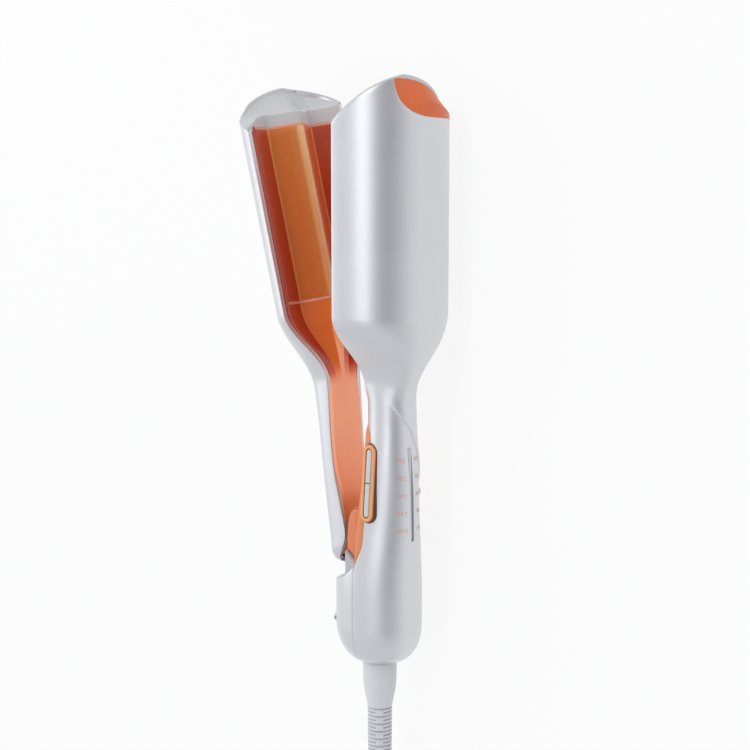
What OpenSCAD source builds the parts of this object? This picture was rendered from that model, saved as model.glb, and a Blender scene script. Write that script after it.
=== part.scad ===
// Hair waver: two hinged arms with matching wave plates, a handle with two keys,
// and a mains cord on a swivelling strain relief.
// X is the way the lever opens (minus X), Y runs from the cord end to the tips,
// Z points up from the table on which the tool lies on its side. All sizes in mm.

/* [Arms] */
// Length from the bottom of the handle to the highest point of the tips
arm_l = 310; // [300:1:320]
// Width of the two heads
head_w = 69; // [66:0.5:74]
// Depth of the main arm's head from the parting plane
head_depth = 36; // [34:0.5:40]
// Depth of the lever's head from the parting plane
lever_depth = 22; // [21:0.5:24]
// Width of the neck
neck_w = 24; // [22:0.5:26]
// Depth of the neck from the parting plane
neck_depth = 22; // [21.5:0.5:24]
// Width of the handle
handle_w = 41; // [39:0.5:44]
// Depth of the handle in front of the parting plane
handle_front = 24; // [23:0.5:26]
// Depth of the handle behind the parting plane
handle_back = 26; // [25:0.5:28]
// Wall of the shells
wall = 2.2; // [1.8:0.1:2.6]
// Gap between the closed arms
arm_gap = 1; // [0.8:0.1:1.4]
// How far the slanting ends fall from their peak to the key side
end_drop = 24; // [20:1:26]
// Height of the orange tip inserts
insert_h = 17; // [12:1:19]

/* [Hinge] */
// Angle between the arms when the tool is at rest, in degrees
open_angle = 16; // [12:0.5:18]
// Distance of the hinge axis behind the parting plane
hinge_back = 7; // [6.5:0.1:8]
// Height of the hinge axis above the bottom of the handle
hinge_y = 60; // [58:0.5:62]
// Radius of the hinge pin
pin_r = 2; // [1.8:0.1:2.4]
// Radial running clearance of the hinge pin
pin_clear = 0.05; // [0.03:0.01:0.1]
// Radius of the hinge knuckle
knuckle_r = 6; // [5.5:0.1:6.4]

/* [Wave plates] */
// Distance of the plates' edges from the sides of the heads
plate_margin = 5.5; // [5:0.1:6.5]
// Distance of the fold lines of the wave from its crest
valley_z = 15.5; // [14:0.5:17]
// Height of the wave
wave_h = 10; // [8:0.5:11]
// Thickness of the plates
plate_t = 2.4; // [2:0.1:3]
// Distance of the main arm's plate below the tips
plate_drop = 27; // [26:0.5:32]
// How much further the lever's plate reaches
lever_plate_more = 3; // [0:0.5:4]

/* [Keys] */
// Length of the oval bezel
bezel_l = 41; // [38:0.5:44]
// Width of the oval bezel
bezel_w = 9; // [8.6:0.1:10]
// Width of the key strip
key_w = 3.5; // [3:0.1:4.4]
// Travel of the keys
key_travel = 0.6; // [0.4:0.1:0.8]
// Travel of the power slider
slider_travel = 3; // [2:0.5:3]

/* [Cord] */
// Diameter of the cord
cord_d = 6; // [5:0.1:7]
// Radius of the strain relief's collar
collar_r = 9; // [8.5:0.1:9.5]
// Length of the strain relief below the handle
relief_l = 76; // [70:1:84]
// Mean radius of the cord coil
coil_r = 34; // [30:1:36]
// Height of the cord coil
coil_h = 18; // [14:1:20]

/* [Hidden] */
$fn = 48;

head_half = head_w / 2;
plate_half = head_half - plate_margin;
neck_half = neck_w / 2;
handle_half = handle_w / 2;
half_gap = arm_gap / 2;
fit_gap = 0.3;
hinge_x = -hinge_back;

// Places along the arms
dome_h = 20;
handle_full_y = 35;
strip_y0 = 50;
back_top_y = 41.5;
back_rise = 12;
lever_y0 = 54;
cover_y0 = 74;
// Above the hinge the places follow the length of the arms
fixed_y = 70;
function up(y) = fixed_y + (y - fixed_y) * (arm_l - fixed_y) / 240;
neck_y = up(135);
flare_y0 = up(150);
flare_y1 = up(188);
front_flare_y0 = up(141);
front_flare_y1 = up(178);
strip_y1 = up(133);
plate_y0 = up(194);
plate_y1 = arm_l - plate_drop;
lever_plate_y1 = plate_y1 + lever_plate_more;
head_y = (plate_y0 + plate_y1) / 2;
strip_depth = 5;
neck_centre = 9;
main_peak = 25;
lever_peak = 18;

// A soft step from 0 to 1 between two places
function ease(y, y0, y1) =
    let (t = min(1, max(0, (y - y0) / (y1 - y0))))
    t * t * (3 - 2 * t);

// Quarter-round closing of the handle's bottom
function dome(y) = y >= dome_h ? 1 : sqrt(max(0, 1 - pow(1 - y / dome_h, 2)));
function domed(size, y) = collar_r + 1 + (size - collar_r - 1) * dome(y);

// Main arm: half width, middle and reach of its rounded section
function main_half(y) = domed(
    handle_half + (neck_half - handle_half) * ease(y, handle_full_y, neck_y)
    + (head_half - neck_half) * ease(y, flare_y0, flare_y1), y);
function main_mid(y) = neck_centre * ease(y, fixed_y, up(118)) * (1 - ease(y, up(140), up(165)));
function main_front(y) = domed(
    handle_front + (neck_depth - handle_front) * ease(y, up(90), neck_y)
    + (head_depth - neck_depth) * ease(y, front_flare_y0, front_flare_y1), y);
function back_depth(y) = domed(handle_back, y);
function rim_x(y) = half_gap + strip_depth * ease(y, strip_y0, 68) * (1 - ease(y, up(122), strip_y1));

// Lever, in its closed place: half width, rim and depth
function lever_half(y) =
    (neck_half + (head_half - neck_half) * ease(y, flare_y0, flare_y1))
    * (0.55 + 0.45 * ease(y, lever_y0 - 6, lever_y0 + 9));
function lever_rim(y) =
    -half_gap - 10.3 * (1 - ease(y, 95, up(165))) - 12 * pow(1 - ease(y, 44, 74), 1.5);
function lever_back(y) =
    -(18.5 + (lever_depth - 18.5) * ease(y, up(142), up(184)) + 12.5 * (1 - ease(y, 40, up(158))))
    * (0.85 + 0.15 * ease(y, lever_y0 - 3, lever_y0 + 8));

// The lever's section is boxy at the neck and round at the head
function boxy(y) = 0.6 + 0.4 * ease(y, up(150), up(185));
function lever_point(y, u, inset) =
    let (k = boxy(y), across = pow(abs(sin(u)), k) * sign(u), out = pow(abs(cos(u)), k), r = lever_rim(y))
    [r - (r - lever_back(y) - inset) * out, y, (lever_half(y) - inset) * across];

// Fall of the slanting end at an angle round the section; side is +1 on the main arm, -1 on the lever
function fall(u, side) =
    side > 0
    ? end_drop * pow(min(1, abs(u - main_peak) / (u > main_peak ? 90 - main_peak : 80)), 1.7)
    : end_drop * pow(min(1, abs(u + lever_peak) / (90 + lever_peak)), 1.5);
// Height of the orange leaf-shaped insert below the end at that angle
leaf_start = 34;
main_leaf_end = -56;
lever_leaf_end = -72;
function leaf_end(side) = side > 0 ? main_leaf_end : lever_leaf_end;
function insert_at(u, side) =
    let (p = min(1, max(0, (leaf_start - u * side) / (leaf_start - leaf_end(side)))))
    max(0.6, insert_h * sin(180 * sqrt(p)));

// Rounded gable of the wave plates: 1 at the crest, 0 at the fold lines
crest_round = 0.12;
function gable(z) =
    (sqrt(1 + crest_round * crest_round) - sqrt(pow(z / valley_z, 2) + crest_round * crest_round))
    / (sqrt(1 + crest_round * crest_round) - crest_round);
valley_x = -wave_h * 0.7;
edge_x = -0.8;
// Past the fold lines the plate climbs again to its edges
function wave_x(z) =
    abs(z) < valley_z
    ? valley_x + wave_h * gable(z)
    : valley_x + (edge_x - valley_x) * (abs(z) - valley_z) / (plate_half - valley_z);

// A closed surface through rings of points. Each ring runs along one side and back along the other.
module loft(rings, flip = false) {
    m = len(rings);
    n = len(rings[0]);
    half = n / 2;
    points = [for (ring = rings) for (p = ring) p];
    walls = [for (i = [0:m - 2]) for (j = [0:n - 1])
        let (a = i * n + j, b = i * n + (j + 1) % n, c = a + n, d = b + n)
        for (f = [[a, b, d], [a, d, c]]) f];
    caps = [for (j = [0:half - 2])
        let (a = j, b = j + 1, c = n - 2 - j, d = n - 1 - j, top = (m - 1) * n)
        for (f = [[a, c, b], [a, d, c], [top + a, top + b, top + c], [top + a, top + c, top + d]]) f];
    faces = concat(walls, caps);
    polyhedron(points = points, faces = flip ? [for (f = faces) [f[0], f[2], f[1]]] : faces, convexity = 10);
}

// The arms lie on their side on the table, centred on the origin
lever_reach = hinge_x - (lever_depth + hinge_x) * cos(open_angle) - (arm_l - 6 - hinge_y) * sin(open_angle);
centre = [-(head_depth + lever_reach) / 2, -arm_l / 2, head_half];
module on_table() {
    translate(centre) children();
}
module opened() {
    translate([hinge_x, hinge_y, 0]) rotate([0, 0, open_angle]) translate([-hinge_x, -hinge_y, 0]) children();
}
module on_lever() {
    on_table() opened() children();
}
// An outline in X and Z, drawn out along Y
module along_y(y0, y1) {
    translate([0, y1, 0]) rotate([90, 0, 0]) linear_extrude(y1 - y0) children();
}
// An outline in X and Y, drawn out along Z about a middle
module along_z(middle, height) {
    translate([0, 0, middle]) linear_extrude(height, center = true) children();
}
// A box given by two corners
module block(low, high) {
    translate(low) cube(high - low);
}

// ---- Shells of the main arm ----
arc_n = 19;
function sweep(j) = 2 * j / (arc_n - 1) - 1;
function front_point(y, u, inset, top) =
    let (d = main_front(y) - main_mid(y) - inset)
    [main_mid(y) + d * cos(u), top ? y - fall(u, 1) : y, (main_half(y) - inset) * sin(u)];
function rim_angle(y, inset, x) = acos(max(-0.95, (x - main_mid(y)) / (main_front(y) - main_mid(y) - inset)));
function front_ring(y, top = false) = concat(
    [for (j = [0:arc_n - 1]) front_point(y, rim_angle(y, 0, rim_x(y)) * sweep(j), 0, top)],
    [for (j = [arc_n - 1:-1:0]) front_point(y, rim_angle(y, wall, rim_x(y)) * sweep(j), wall, top)]);
front_stations = concat([0, 1, 3, 6, 10, 15], [for (y = [22:7:64]) y], [for (k = [71:7:141]) up(k)],
    [for (k = [146:4:194]) up(k)], [head_y]);

module handle_front_shell() {
    color([0.80, 0.81, 0.84]) on_table() difference() {
        loft(concat([for (y = front_stations) front_ring(y)], [front_ring(arm_l, true)]));
        light_place() block([-4, -light_l / 2 - fit_gap, -light_w / 2 - fit_gap],
            [9, light_l / 2 + fit_gap, light_w / 2 + fit_gap]);
        bezel_place() stadium(bezel_l + 2 * fit_gap, bezel_w + 2 * fit_gap, 9, -6);
        tip_insert(head_depth, 1, insert_room);
    }
}

back_stations = [0, 1, 3, 6, 10, 15, 20, 25, 30, 34, 38, back_top_y];
// The top edge of the cover climbs towards the parting plane
function back_edge(y, u) = y + back_rise * ease(y, 26, back_top_y) * pow(1 - cos(u), 2);
function back_ring(y) = concat(
    [for (j = [0:arc_n - 1]) let (u = 90 * sweep(j), e = back_edge(y, u))
        [-(back_depth(y)) * cos(u), e, main_half(e) * sin(u)]],
    [for (j = [arc_n - 1:-1:0]) let (u = 90 * sweep(j), e = back_edge(y, u))
        [-(back_depth(y) - wall) * cos(u), e, (main_half(e) - wall) * sin(u)]]);
module handle_back_cover() {
    color([0.80, 0.81, 0.84]) on_table() difference() {
        loft([for (y = back_stations) back_ring(y)], flip = true);
        block([-handle_back - 2, slider_y - knob_l / 2 - fit_gap, -knob_w / 2 - fit_gap],
            [-handle_back + 2 * wall, slider_y + knob_l / 2 + slider_travel + fit_gap, knob_w / 2 + fit_gap]);
        for (z = [-1, 1] * screw_z) {
            translate([-handle_back - 1, screw_y, z]) rotate([0, 90, 0]) cylinder(r = 1.6, h = 12);
            translate([-handle_back - 1, screw_y, z]) rotate([0, 90, 0])
                cylinder(r = 3, h = handle_back + 1 + screw_seat);
        }
    }
}

// ---- Orange inner mouldings ----
cover_t = 2;
side_t = wall + fit_gap;
lip_half = head_half - wall - fit_gap;
cover_n = 31;
// The wave carried on past the plate's edges up to the lip of the shell
function wave_full(z) =
    abs(z) < plate_half ? wave_x(z) : edge_x * (lip_half - abs(z)) / (lip_half - plate_half);
function flare(y) = ease(y, up(146), plate_y0 - 2);
// One ring of a moulding that grows from a flat neck into the wave; side is +1 on the main arm
function neck_ring(y, base, half_w, side) = concat(
    [for (j = [0:cover_n - 1]) let (s = 2 * j / (cover_n - 1) - 1)
        [base + flare(y) * wave_full(s * lip_half), y, s * half_w]],
    [for (j = [cover_n - 1:-1:0]) let (s = 2 * j / (cover_n - 1) - 1)
        [base + side * cover_t + flare(y) * wave_full(s * lip_half), y, s * half_w]]);
function rim_half(y, x) =
    let (m = main_mid(y), d = main_front(y) - m - wall)
    (main_half(y) - wall) * sqrt(1 - pow(min(0.95, (x - m) / d), 2)) - fit_gap - 0.3;
bridge_points = [for (j = [0:cover_n - 1]) lip_half * (2 * j / (cover_n - 1) - 1)];
// Sloping sides of the frame that holds a plate
module plate_frame(side, y1) {
    for (z = [-1, 1]) along_y(plate_y0 - 2, y1 + 2) polygon([
        [side * half_gap, z * (lip_half - 0.2)], [side * half_gap + edge_x, z * (plate_half + 0.4)],
        [side * (half_gap + 2.4) + edge_x, z * (plate_half + 0.4)],
        [side * (half_gap + 2), z * (lip_half - 0.2)]]);
    // bridge behind the plate at its lower end
    along_y(plate_y0 - 4, plate_y0 - 1) polygon(concat(
        [for (z = bridge_points) [side * half_gap + wave_full(z), z]],
        [for (j = [cover_n - 1:-1:0]) let (z = bridge_points[j]) [side * (half_gap + cover_t) + wave_full(z), z]]));
}
// The strip that shows beside the keys: a shallow U that closes the neck
function strip_ring(y) =
    let (m = main_mid(y), d = main_front(y) - m, a = main_half(y), r = rim_x(y) - 0.35,
        rim = a * sin(acos((r - m) / d)), low = max(a * sin(acos((half_gap - m) / d)), rim - 0.3))
    [[r, y, -rim], [half_gap, y, -low], [half_gap, y, low], [r, y, rim],
     [r, y, rim - side_t], [half_gap + cover_t, y, low - side_t],
     [half_gap + cover_t, y, side_t - low], [r, y, side_t - rim]];
strip_stations = concat([55, 60, 65], [for (k = [71:7:127]) up(k)]);
neck_stations = concat([for (k = [118:6:190]) up(k)], [plate_y0 - 2]);
cheek_x = -7.4;
cheek_edge = [[0.8, 55.5], [-1.4, 55.5], [cheek_x, 59.7]];
module main_inner_cover() {
    color([0.88, 0.42, 0.22]) on_table() difference() {
        union() {
            loft([for (y = strip_stations) strip_ring(y)], flip = true);
            loft([for (y = neck_stations) neck_ring(y, half_gap, rim_half(y, half_gap), 1)], flip = true);
            plate_frame(1, plate_y1);
            // cheeks that hide the hinge, joined above it
            for (side = [-1, 1]) along_z(side * 12.5, 5.8) polygon(concat(cheek_edge, [[cheek_x, 83], [0.8, 83]]));
            block([cheek_x, 74, -10], [0.8, 83, 10]);
        }
        bezel_place() stadium(bezel_l + 2 * fit_gap, bezel_w + 2 * fit_gap, 9, -6);
    }
}

// ---- Ends of the heads ----
tip_n = 17;
// Rings of an insert from its lower edge to its chamfered top: how far up, and how far in from the face
insert_body = [[0, 0], [0.5, 0], [0.82, 0.6], [1, 1.5]];
insert_room = [[0, -1], [1, -1], [1.2, -1]];
function insert_point(u, depth, step, inset, side, extra) =
    let (h = insert_at(u, side) + extra)
    [side * (depth - inset) * cos(u), arm_l - fall(u, side) - (1 - step) * h, (head_half - inset) * sin(u)];
module tip_insert(depth, side, steps) {
    room = len(steps) == len(insert_room);
    angles = [for (j = [0:tip_n - 1]) side * (leaf_start + (leaf_end(side) - leaf_start) * j / (tip_n - 1))];
    inner = room ? wall + 1 : wall;
    extra = room ? 0.2 : 0;
    spread = room ? 1.012 : 1;
    loft([for (s = steps) concat(
        [for (u = angles) insert_point(u * spread, depth, s[0], s[1], side, extra)],
        [for (j = [tip_n - 1:-1:0]) insert_point(angles[j] * spread, depth, s[0], inner, side, extra)])],
        flip = true);
}
module main_tip_insert() {
    color([0.90, 0.43, 0.24]) on_table() tip_insert(head_depth, 1, insert_body);
}
// Slanting end face: it dips towards the parting plane, later near the key side and the table side
cap_n = 21;
dip = 15.5;
function cap_y(x, z, depth, side) =
    let (p = x * side / depth, q = z / head_half, r = sqrt(p * p + q * q), u = atan2(q, p))
    arm_l - 1.2 - dip + (dip - fall(u, side)) * pow(r, 1.8 + 2.2 * pow(sin(u), 2));
module end_cap(depth, side, y1) {
    h = head_half - wall - fit_gap;
    d = depth - wall - fit_gap;
    loft([for (j = [0:cap_n - 1])
        let (z = h * sin(88 * (2 * j / (cap_n - 1) - 1)), x1 = d * sqrt(1 - pow(z / h, 2)))
        concat(
            [for (k = [0:4]) let (x = side * (half_gap + (x1 - half_gap) * k / 4)) [x, cap_y(x, z, depth, side), z]],
            [for (k = [4:-1:0]) let (x = side * (half_gap + (x1 - half_gap) * k / 4)) [x, y1 + 0.4, z]])],
        flip = side < 0);
}
module main_end_cap() {
    color([0.78, 0.79, 0.81]) on_table() difference() {
        end_cap(head_depth, 1, plate_y1);
        plate_end_cut(plate_y1);
        // room for the crest of the lever's plate, which reaches further up
        block([-12, plate_y1, -9], [4, lever_plate_y1 + 0.6, 9]);
    }
}
// Room for the plate frame below the caps
module plate_end_cut(y1) {
    block([-12, y1 - 1, -head_half], [12, y1 + 2.4, head_half]);
}

// ---- Plates, heaters and what holds them ----
plate_points = [for (j = [0:cover_n - 1]) plate_half * (2 * j / (cover_n - 1) - 1)];
module wave_plate(side, y1) {
    along_y(plate_y0, y1) polygon(concat(
        [for (z = plate_points) [wave_x(z) + side * half_gap, z]],
        [for (j = [cover_n - 1:-1:0]) [wave_x(plate_points[j]) + side * (half_gap + plate_t), plate_points[j]]]));
}
heater_w = 16;
heater_t = 3;
heater_inset = 4;
main_heater_x = wave_x(0) + half_gap + plate_t + 0.1;
lever_heater_x = wave_x(heater_w / 2) - half_gap - plate_t - 0.1;
clip_t = 0.8;
module main_wave_plate() {
    color([0.73, 0.35, 0.16]) on_table() wave_plate(1, plate_y1);
}
module main_heater() {
    color([0.92, 0.91, 0.88]) on_table()
        block([main_heater_x, plate_y0 + heater_inset, -heater_w / 2],
            [main_heater_x + heater_t, plate_y1 - heater_inset, heater_w / 2]);
}
// A sprung strip across the back of the heater with feet against the plate's folds
module heater_clip(x, side, feet) {
    for (y = [plate_y0 + 20, plate_y1 - 30]) {
        block([min(x, x + side * clip_t), y, -valley_z - 2], [max(x, x + side * clip_t), y + 10, valley_z + 2]);
        for (z = [-1, 1]) block([min(x, x + side * feet), y, z * valley_z - 0.4],
            [max(x, x + side * feet), y + 10, z * valley_z + 0.4]);
    }
}
main_clip_x = main_heater_x + heater_t + 0.1;
module main_heater_clip() {
    color([0.70, 0.71, 0.72]) on_table() heater_clip(main_clip_x, 1, valley_x + half_gap + plate_t + 0.5 - main_clip_x);
}
module main_thermistor() {
    color([0.15, 0.15, 0.16]) on_table()
        translate([wave_x(14) + half_gap + plate_t + 2.2, plate_y0 + 8, 14]) rotate([-90, 0, 0]) cylinder(r = 1.5, h = 9);
}

// ---- Hinge ----
ear_t = 2.4;
ear_z = 5.4;
frame_x = half_gap + cover_t + 0.3;
frame_t = 2;
frame_y0 = 15.5;
frame_y1 = 50;
frame_y2 = 76;
frame_y3 = up(124);
module hinge_frame() {
    color([0.62, 0.63, 0.65]) on_table() difference() {
        union() {
            block([frame_x, frame_y0, -board_half], [frame_x + frame_t, frame_y1, board_half]);
            block([frame_x, frame_y1, -9], [frame_x + frame_t, frame_y2, 9]);
            block([frame_x, frame_y2, -display_half - 0.5], [frame_x + frame_t, frame_y3, display_half + 0.5]);
            // screw posts for the back cover and a post for the slide switch
            for (z = [-1, 1] * screw_z)
                translate([post_x, screw_y, z]) rotate([0, 90, 0]) cylinder(r = 3, h = frame_x - post_x);
            block([-17, slider_y - 3, -2.5], [frame_x, slider_y + 3, 2.5]);
            // posts for the two boards
            for (y = [frame_y0 + 4.5, frame_y1 - 4])
                translate([frame_x + frame_t, y, 0]) rotate([0, 90, 0]) cylinder(r = 2.5, h = board_x - frame_x - frame_t);
            for (y = [display_y0 + 11, display_y1 - 9])
                translate([frame_x + frame_t, y, 0]) rotate([0, 90, 0]) cylinder(r = 2, h = display_x - frame_x - frame_t);
        }
        for (z = [-1, 1] * screw_z) translate([post_x - 1, screw_y, z]) rotate([0, 90, 0]) cylinder(r = 1.3, h = 12);
    }
}
module hinge_knuckle() {
    color([0.88, 0.42, 0.22]) on_table() difference() {
        union() {
            translate([hinge_x, hinge_y, -ear_z + fit_gap]) cylinder(r = knuckle_r, h = 2 * (ear_z - fit_gap));
            block([hinge_x, hinge_y - 5.2, -ear_z + fit_gap], [half_gap, hinge_y + 5.2, ear_z - fit_gap]);
        }
        translate([hinge_x, hinge_y, -10]) cylinder(r = pin_r + pin_clear, h = 20);
        // pocket for the spring
        translate([hinge_x, hinge_y, -spring_half - fit_gap]) difference() {
            cylinder(r = knuckle_r + 8, h = 2 * (spring_half + fit_gap));
            cylinder(r = pin_r + 1.2, h = 2 * (spring_half + fit_gap));
            translate([knuckle_r + 0.6, -20, -1]) cube([20, 40, 20]);
        }
    }
}
spring_half = 3;
spring_wire = 0.6;
spring_r = pin_r + 2;
module opening_spring() {
    color([0.75, 0.76, 0.78]) on_table() translate([hinge_x, hinge_y, 0]) {
        // the wound turns, close together
        translate([0, 0, -spring_half]) difference() {
            cylinder(r = spring_r + spring_wire, h = 2 * spring_half);
            translate([0, 0, -1]) cylinder(r = spring_r - spring_wire, h = 2 * spring_half + 2);
        }
        // the leg that bears on the knuckle
        translate([spring_r - 0.4, -spring_wire, spring_half - 2 * spring_wire]) cube([2.2, 2 * spring_wire, 2 * spring_wire]);
    }
}
bush_out = 3.4;
module hinge_pin() {
    color([0.78, 0.79, 0.80]) on_table() translate([hinge_x, hinge_y, -ear_z - ear_t - 0.6]) {
        cylinder(r = pin_r, h = 2 * (ear_z + ear_t + 0.6));
        for (z = [-0.8, 2 * (ear_z + ear_t + 0.6)]) translate([0, 0, z]) cylinder(r = pin_r + 1, h = 0.8);
    }
}
module hinge_bushes() {
    color([0.80, 0.66, 0.40]) on_table() translate([hinge_x, hinge_y, 0]) for (z = [-ear_z - ear_t, ear_z])
        translate([0, 0, z]) difference() {
            cylinder(r = bush_out, h = ear_t);
            translate([0, 0, -1]) cylinder(r = pin_r + pin_clear, h = ear_t + 2);
        }
}
bracket_x = hinge_x - knuckle_r - 2;
ear_low = 2.4;
bracket_t = 1.6;
module lever_bracket() {
    color([0.55, 0.56, 0.58]) on_lever() difference() {
        union() {
            block([bracket_x - bracket_t, hinge_y - ear_low, -ear_z - ear_t], [bracket_x, hinge_y + 5.4, ear_z + ear_t]);
            block([bracket_x - bracket_t, hinge_y + 5, -5], [bracket_x, hinge_y + 30, 5]);
            for (z = [-ear_z - ear_t, ear_z]) {
                translate([hinge_x, hinge_y, z]) cylinder(r = 5.4, h = ear_t);
                block([bracket_x - 0.1, hinge_y - ear_low, z], [hinge_x, hinge_y + 5.4, z + ear_t]);
            }
        }
        translate([hinge_x, hinge_y, -20]) cylinder(r = bush_out + 0.02, h = 40);
        for (y = [14, 26]) translate([bracket_x - 5, hinge_y + y, 0]) rotate([0, 90, 0]) cylinder(r = 1.6, h = 10);
    }
}
module bracket_screws() {
    color([0.62, 0.63, 0.65]) on_lever() for (y = [14, 26]) translate([bracket_x, hinge_y + y, 0]) rotate([0, -90, 0]) {
        cylinder(r = 1.3, h = 6);
        translate([0, 0, -1.4]) cylinder(r = 2.6, h = 1.4);
    }
}

// ---- Electronics ----
light_l = 50;
light_w = 2.2;
light_y = up(93.5);
light_z = 0.2;
light_tilt = 1.5;
board_x = 9;
board_t = 1.6;
board_y0 = 14;
board_y1 = 58;
board_half = 13;
display_x = 18.2;
display_y0 = light_y - 22.5;
display_y1 = light_y + 21.5;
display_half = 4;
module light_place() {
    translate([handle_front - 1.6, light_y, light_z]) rotate([light_tilt, 0, 0]) children();
}
module control_board() {
    color([0.10, 0.36, 0.20]) on_table() {
        block([board_x, board_y0, -board_half], [board_x + board_t, board_y1, board_half]);
        // transformer, relay and smoothing capacitor
        block([board_x + board_t, board_y0 + 2, -9], [board_x + board_t + 7.5, board_y0 + 17, 3]);
        block([board_x + board_t, board_y0 + 20, -4], [board_x + board_t + 6, board_y0 + 32, 8]);
        translate([board_x + board_t, board_y1 - 6, -6]) rotate([0, 90, 0]) cylinder(r = 4, h = 6);
    }
}
module display_board() {
    color([0.10, 0.36, 0.20]) on_table() {
        block([display_x, display_y0, -display_half], [display_x + 1, display_y1, display_half]);
        for (y = [display_y0 + 2:10:display_y1 - 2]) block([display_x + 1, y - 1.5, -1], [display_x + 1.8, y + 1.5, 1]);
    }
}
module light_bar() {
    color([0.93, 0.94, 0.95]) on_table() light_place()
        block([-1.6, -light_l / 2, -light_w / 2], [1.4, light_l / 2, light_w / 2]);
}
bezel_x = 6.8;
bezel_turn = 2.5;
bezel_y = up(99);
bezel_z = main_half(bezel_y) - 0.9;
bezel_tilt = 6.5;
bezel_h = 2.4;
key_gap = 0.4;
key_l = (bezel_l - bezel_w + key_w - key_gap) / 2;
module bezel_place() {
    translate([bezel_x, bezel_y, bezel_z]) rotate([-bezel_tilt, 0, 0]) rotate([0, 0, bezel_turn]) children();
}
module stadium(l, w, h, z0) {
    translate([0, 0, z0]) linear_extrude(h) stadium_outline(l, w);
}
module stadium_outline(l, w) {
    square([w, l - w], center = true);
    for (s = [-1, 1]) translate([0, s * (l - w) / 2]) circle(d = w);
}
slot_l = bezel_l - bezel_w + key_w + 2 * fit_gap;
module button_bezel() {
    color([0.96, 0.65, 0.41]) on_table() bezel_place() difference() {
        stadium(bezel_l, bezel_w, bezel_h + 1.4, -1.4);
        stadium(slot_l, key_w + 2 * fit_gap, bezel_h + 4, -2);
    }
}
// One key: half of the strip, with a stem down to its switch
module key(side) {
    bezel_place() {
        intersection() {
            stadium(bezel_l - bezel_w + key_w, key_w, bezel_h + 1.2, -0.9);
            translate([0, side * (key_gap / 2 + 50), 0]) cube([40, 100, 40], center = true);
        }
        translate([0, side * key_l / 2, -2.6]) cylinder(r = 1.2, h = 2);
    }
}
module plus_key() {
    color([0.75, 0.78, 0.78]) on_table() key(1);
}
module minus_key() {
    color([0.75, 0.78, 0.78]) on_table() key(-1);
}
module key_board() {
    color([0.10, 0.36, 0.20]) on_table() bezel_place() block([-3.4, -17, -7], [3.4, 17, -6]);
}
module key_switches() {
    color([0.20, 0.20, 0.22]) on_table() bezel_place() for (side = [-1, 1]) {
        block([-2.5, side * key_l / 2 - 2.5, -6], [2.5, side * key_l / 2 + 2.5, -4]);
        translate([0, side * key_l / 2, -4]) cylinder(r = 1.2, h = 1.4 - key_travel - 0.15);
    }
}
slider_y = 28;
knob_l = 7;
knob_w = 4.2;
screw_y = 20;
screw_z = 9;
screw_seat = -22.2;
post_x = -16.5;
module power_slider() {
    color([0.80, 0.81, 0.84]) on_table() {
        block([-handle_back - 1.6, slider_y - knob_l / 2, -knob_w / 2],
            [-handle_back + wall + 1.5, slider_y + knob_l / 2, knob_w / 2]);
        block([-handle_back + wall + 0.9, slider_y - 6.5, -4], [-handle_back + wall + 2.5, slider_y + 7, 4]);
    }
}
module slide_switch() {
    color([0.20, 0.20, 0.22]) on_table() block([-handle_back + wall + 2.8, slider_y - 4, -3], [-17, slider_y + 6, 3]);
}

// Grey plate that closes the back half of the handle below the lever, with a pillar on each side up to the cheeks
pillar_z0 = 12.7;
pillar_z1 = 17;
module gap_cover() {
    color([0.68, 0.69, 0.71]) on_table() {
        along_y(back_top_y - 2.6, back_top_y - 0.6) polygon(concat(
            [for (j = [0:arc_n - 1]) let (u = 88 * sweep(j), y = back_top_y)
                [-(back_depth(y) - side_t) * cos(u), (main_half(y) - side_t) * sin(u)]],
            [[frame_x - 0.3, main_half(back_top_y) - side_t - 0.4], [frame_x - 0.3, side_t + 0.4 - main_half(back_top_y)]]));
        for (side = [-1, 1]) along_z(side * (pillar_z0 + pillar_z1) / 2, pillar_z1 - pillar_z0) polygon([
            [0.2, back_top_y - 1], [0.2, cheek_edge[0][1] - fit_gap], [cheek_edge[1][0], cheek_edge[1][1] - fit_gap],
            [cheek_x, cheek_edge[2][1] - fit_gap], [cheek_x, back_top_y - 1]]);
    }
}

// ---- Cord end ----
stem_r = 5.5;
module swivel_retainer() {
    color([0.62, 0.63, 0.65]) on_table() translate([0, 1, 0]) rotate([-90, 0, 0]) difference() {
        cylinder(r = collar_r + 1 - wall - fit_gap, h = 10);
        translate([0, 0, -1]) cylinder(r = stem_r + pin_clear, h = 12);
    }
}
rib_pitch = 4.2;
rib_y0 = 32;
end_r = 6.2;
taper_y0 = 14;
taper_y1 = 30;
module strain_relief() {
    color([0.86, 0.86, 0.89]) on_table() rotate([90, 0, 0]) difference() {
        rotate_extrude() polygon([
            [0, -13.5], [stem_r + 1.6, -13.5], [stem_r + 1.6, -11.3], [stem_r, -11.3], [stem_r, 0.3], [collar_r - 0.6, 0.3],
            [collar_r, 1], [collar_r, taper_y0], [collar_r - 1, taper_y0 + 6], [end_r + 0.4, taper_y1], [end_r, relief_l - 1],
            [end_r - 0.8, relief_l], [0, relief_l]]);
        for (y = [rib_y0:rib_pitch:relief_l - 5]) translate([0, 0, y]) difference() {
            cylinder(r = 10, h = 1.1);
            cylinder(r = end_r - 1.6, h = 1.1);
        }
    }
}
module back_cover_screws() {
    color([0.62, 0.63, 0.65]) on_table() for (z = [-1, 1] * screw_z) translate([screw_seat, screw_y, z]) rotate([0, 90, 0]) {
        cylinder(r = 1.25, h = 14);
        translate([0, 0, -1.2]) cylinder(r = 2.6, h = 1.2);
    }
}

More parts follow.
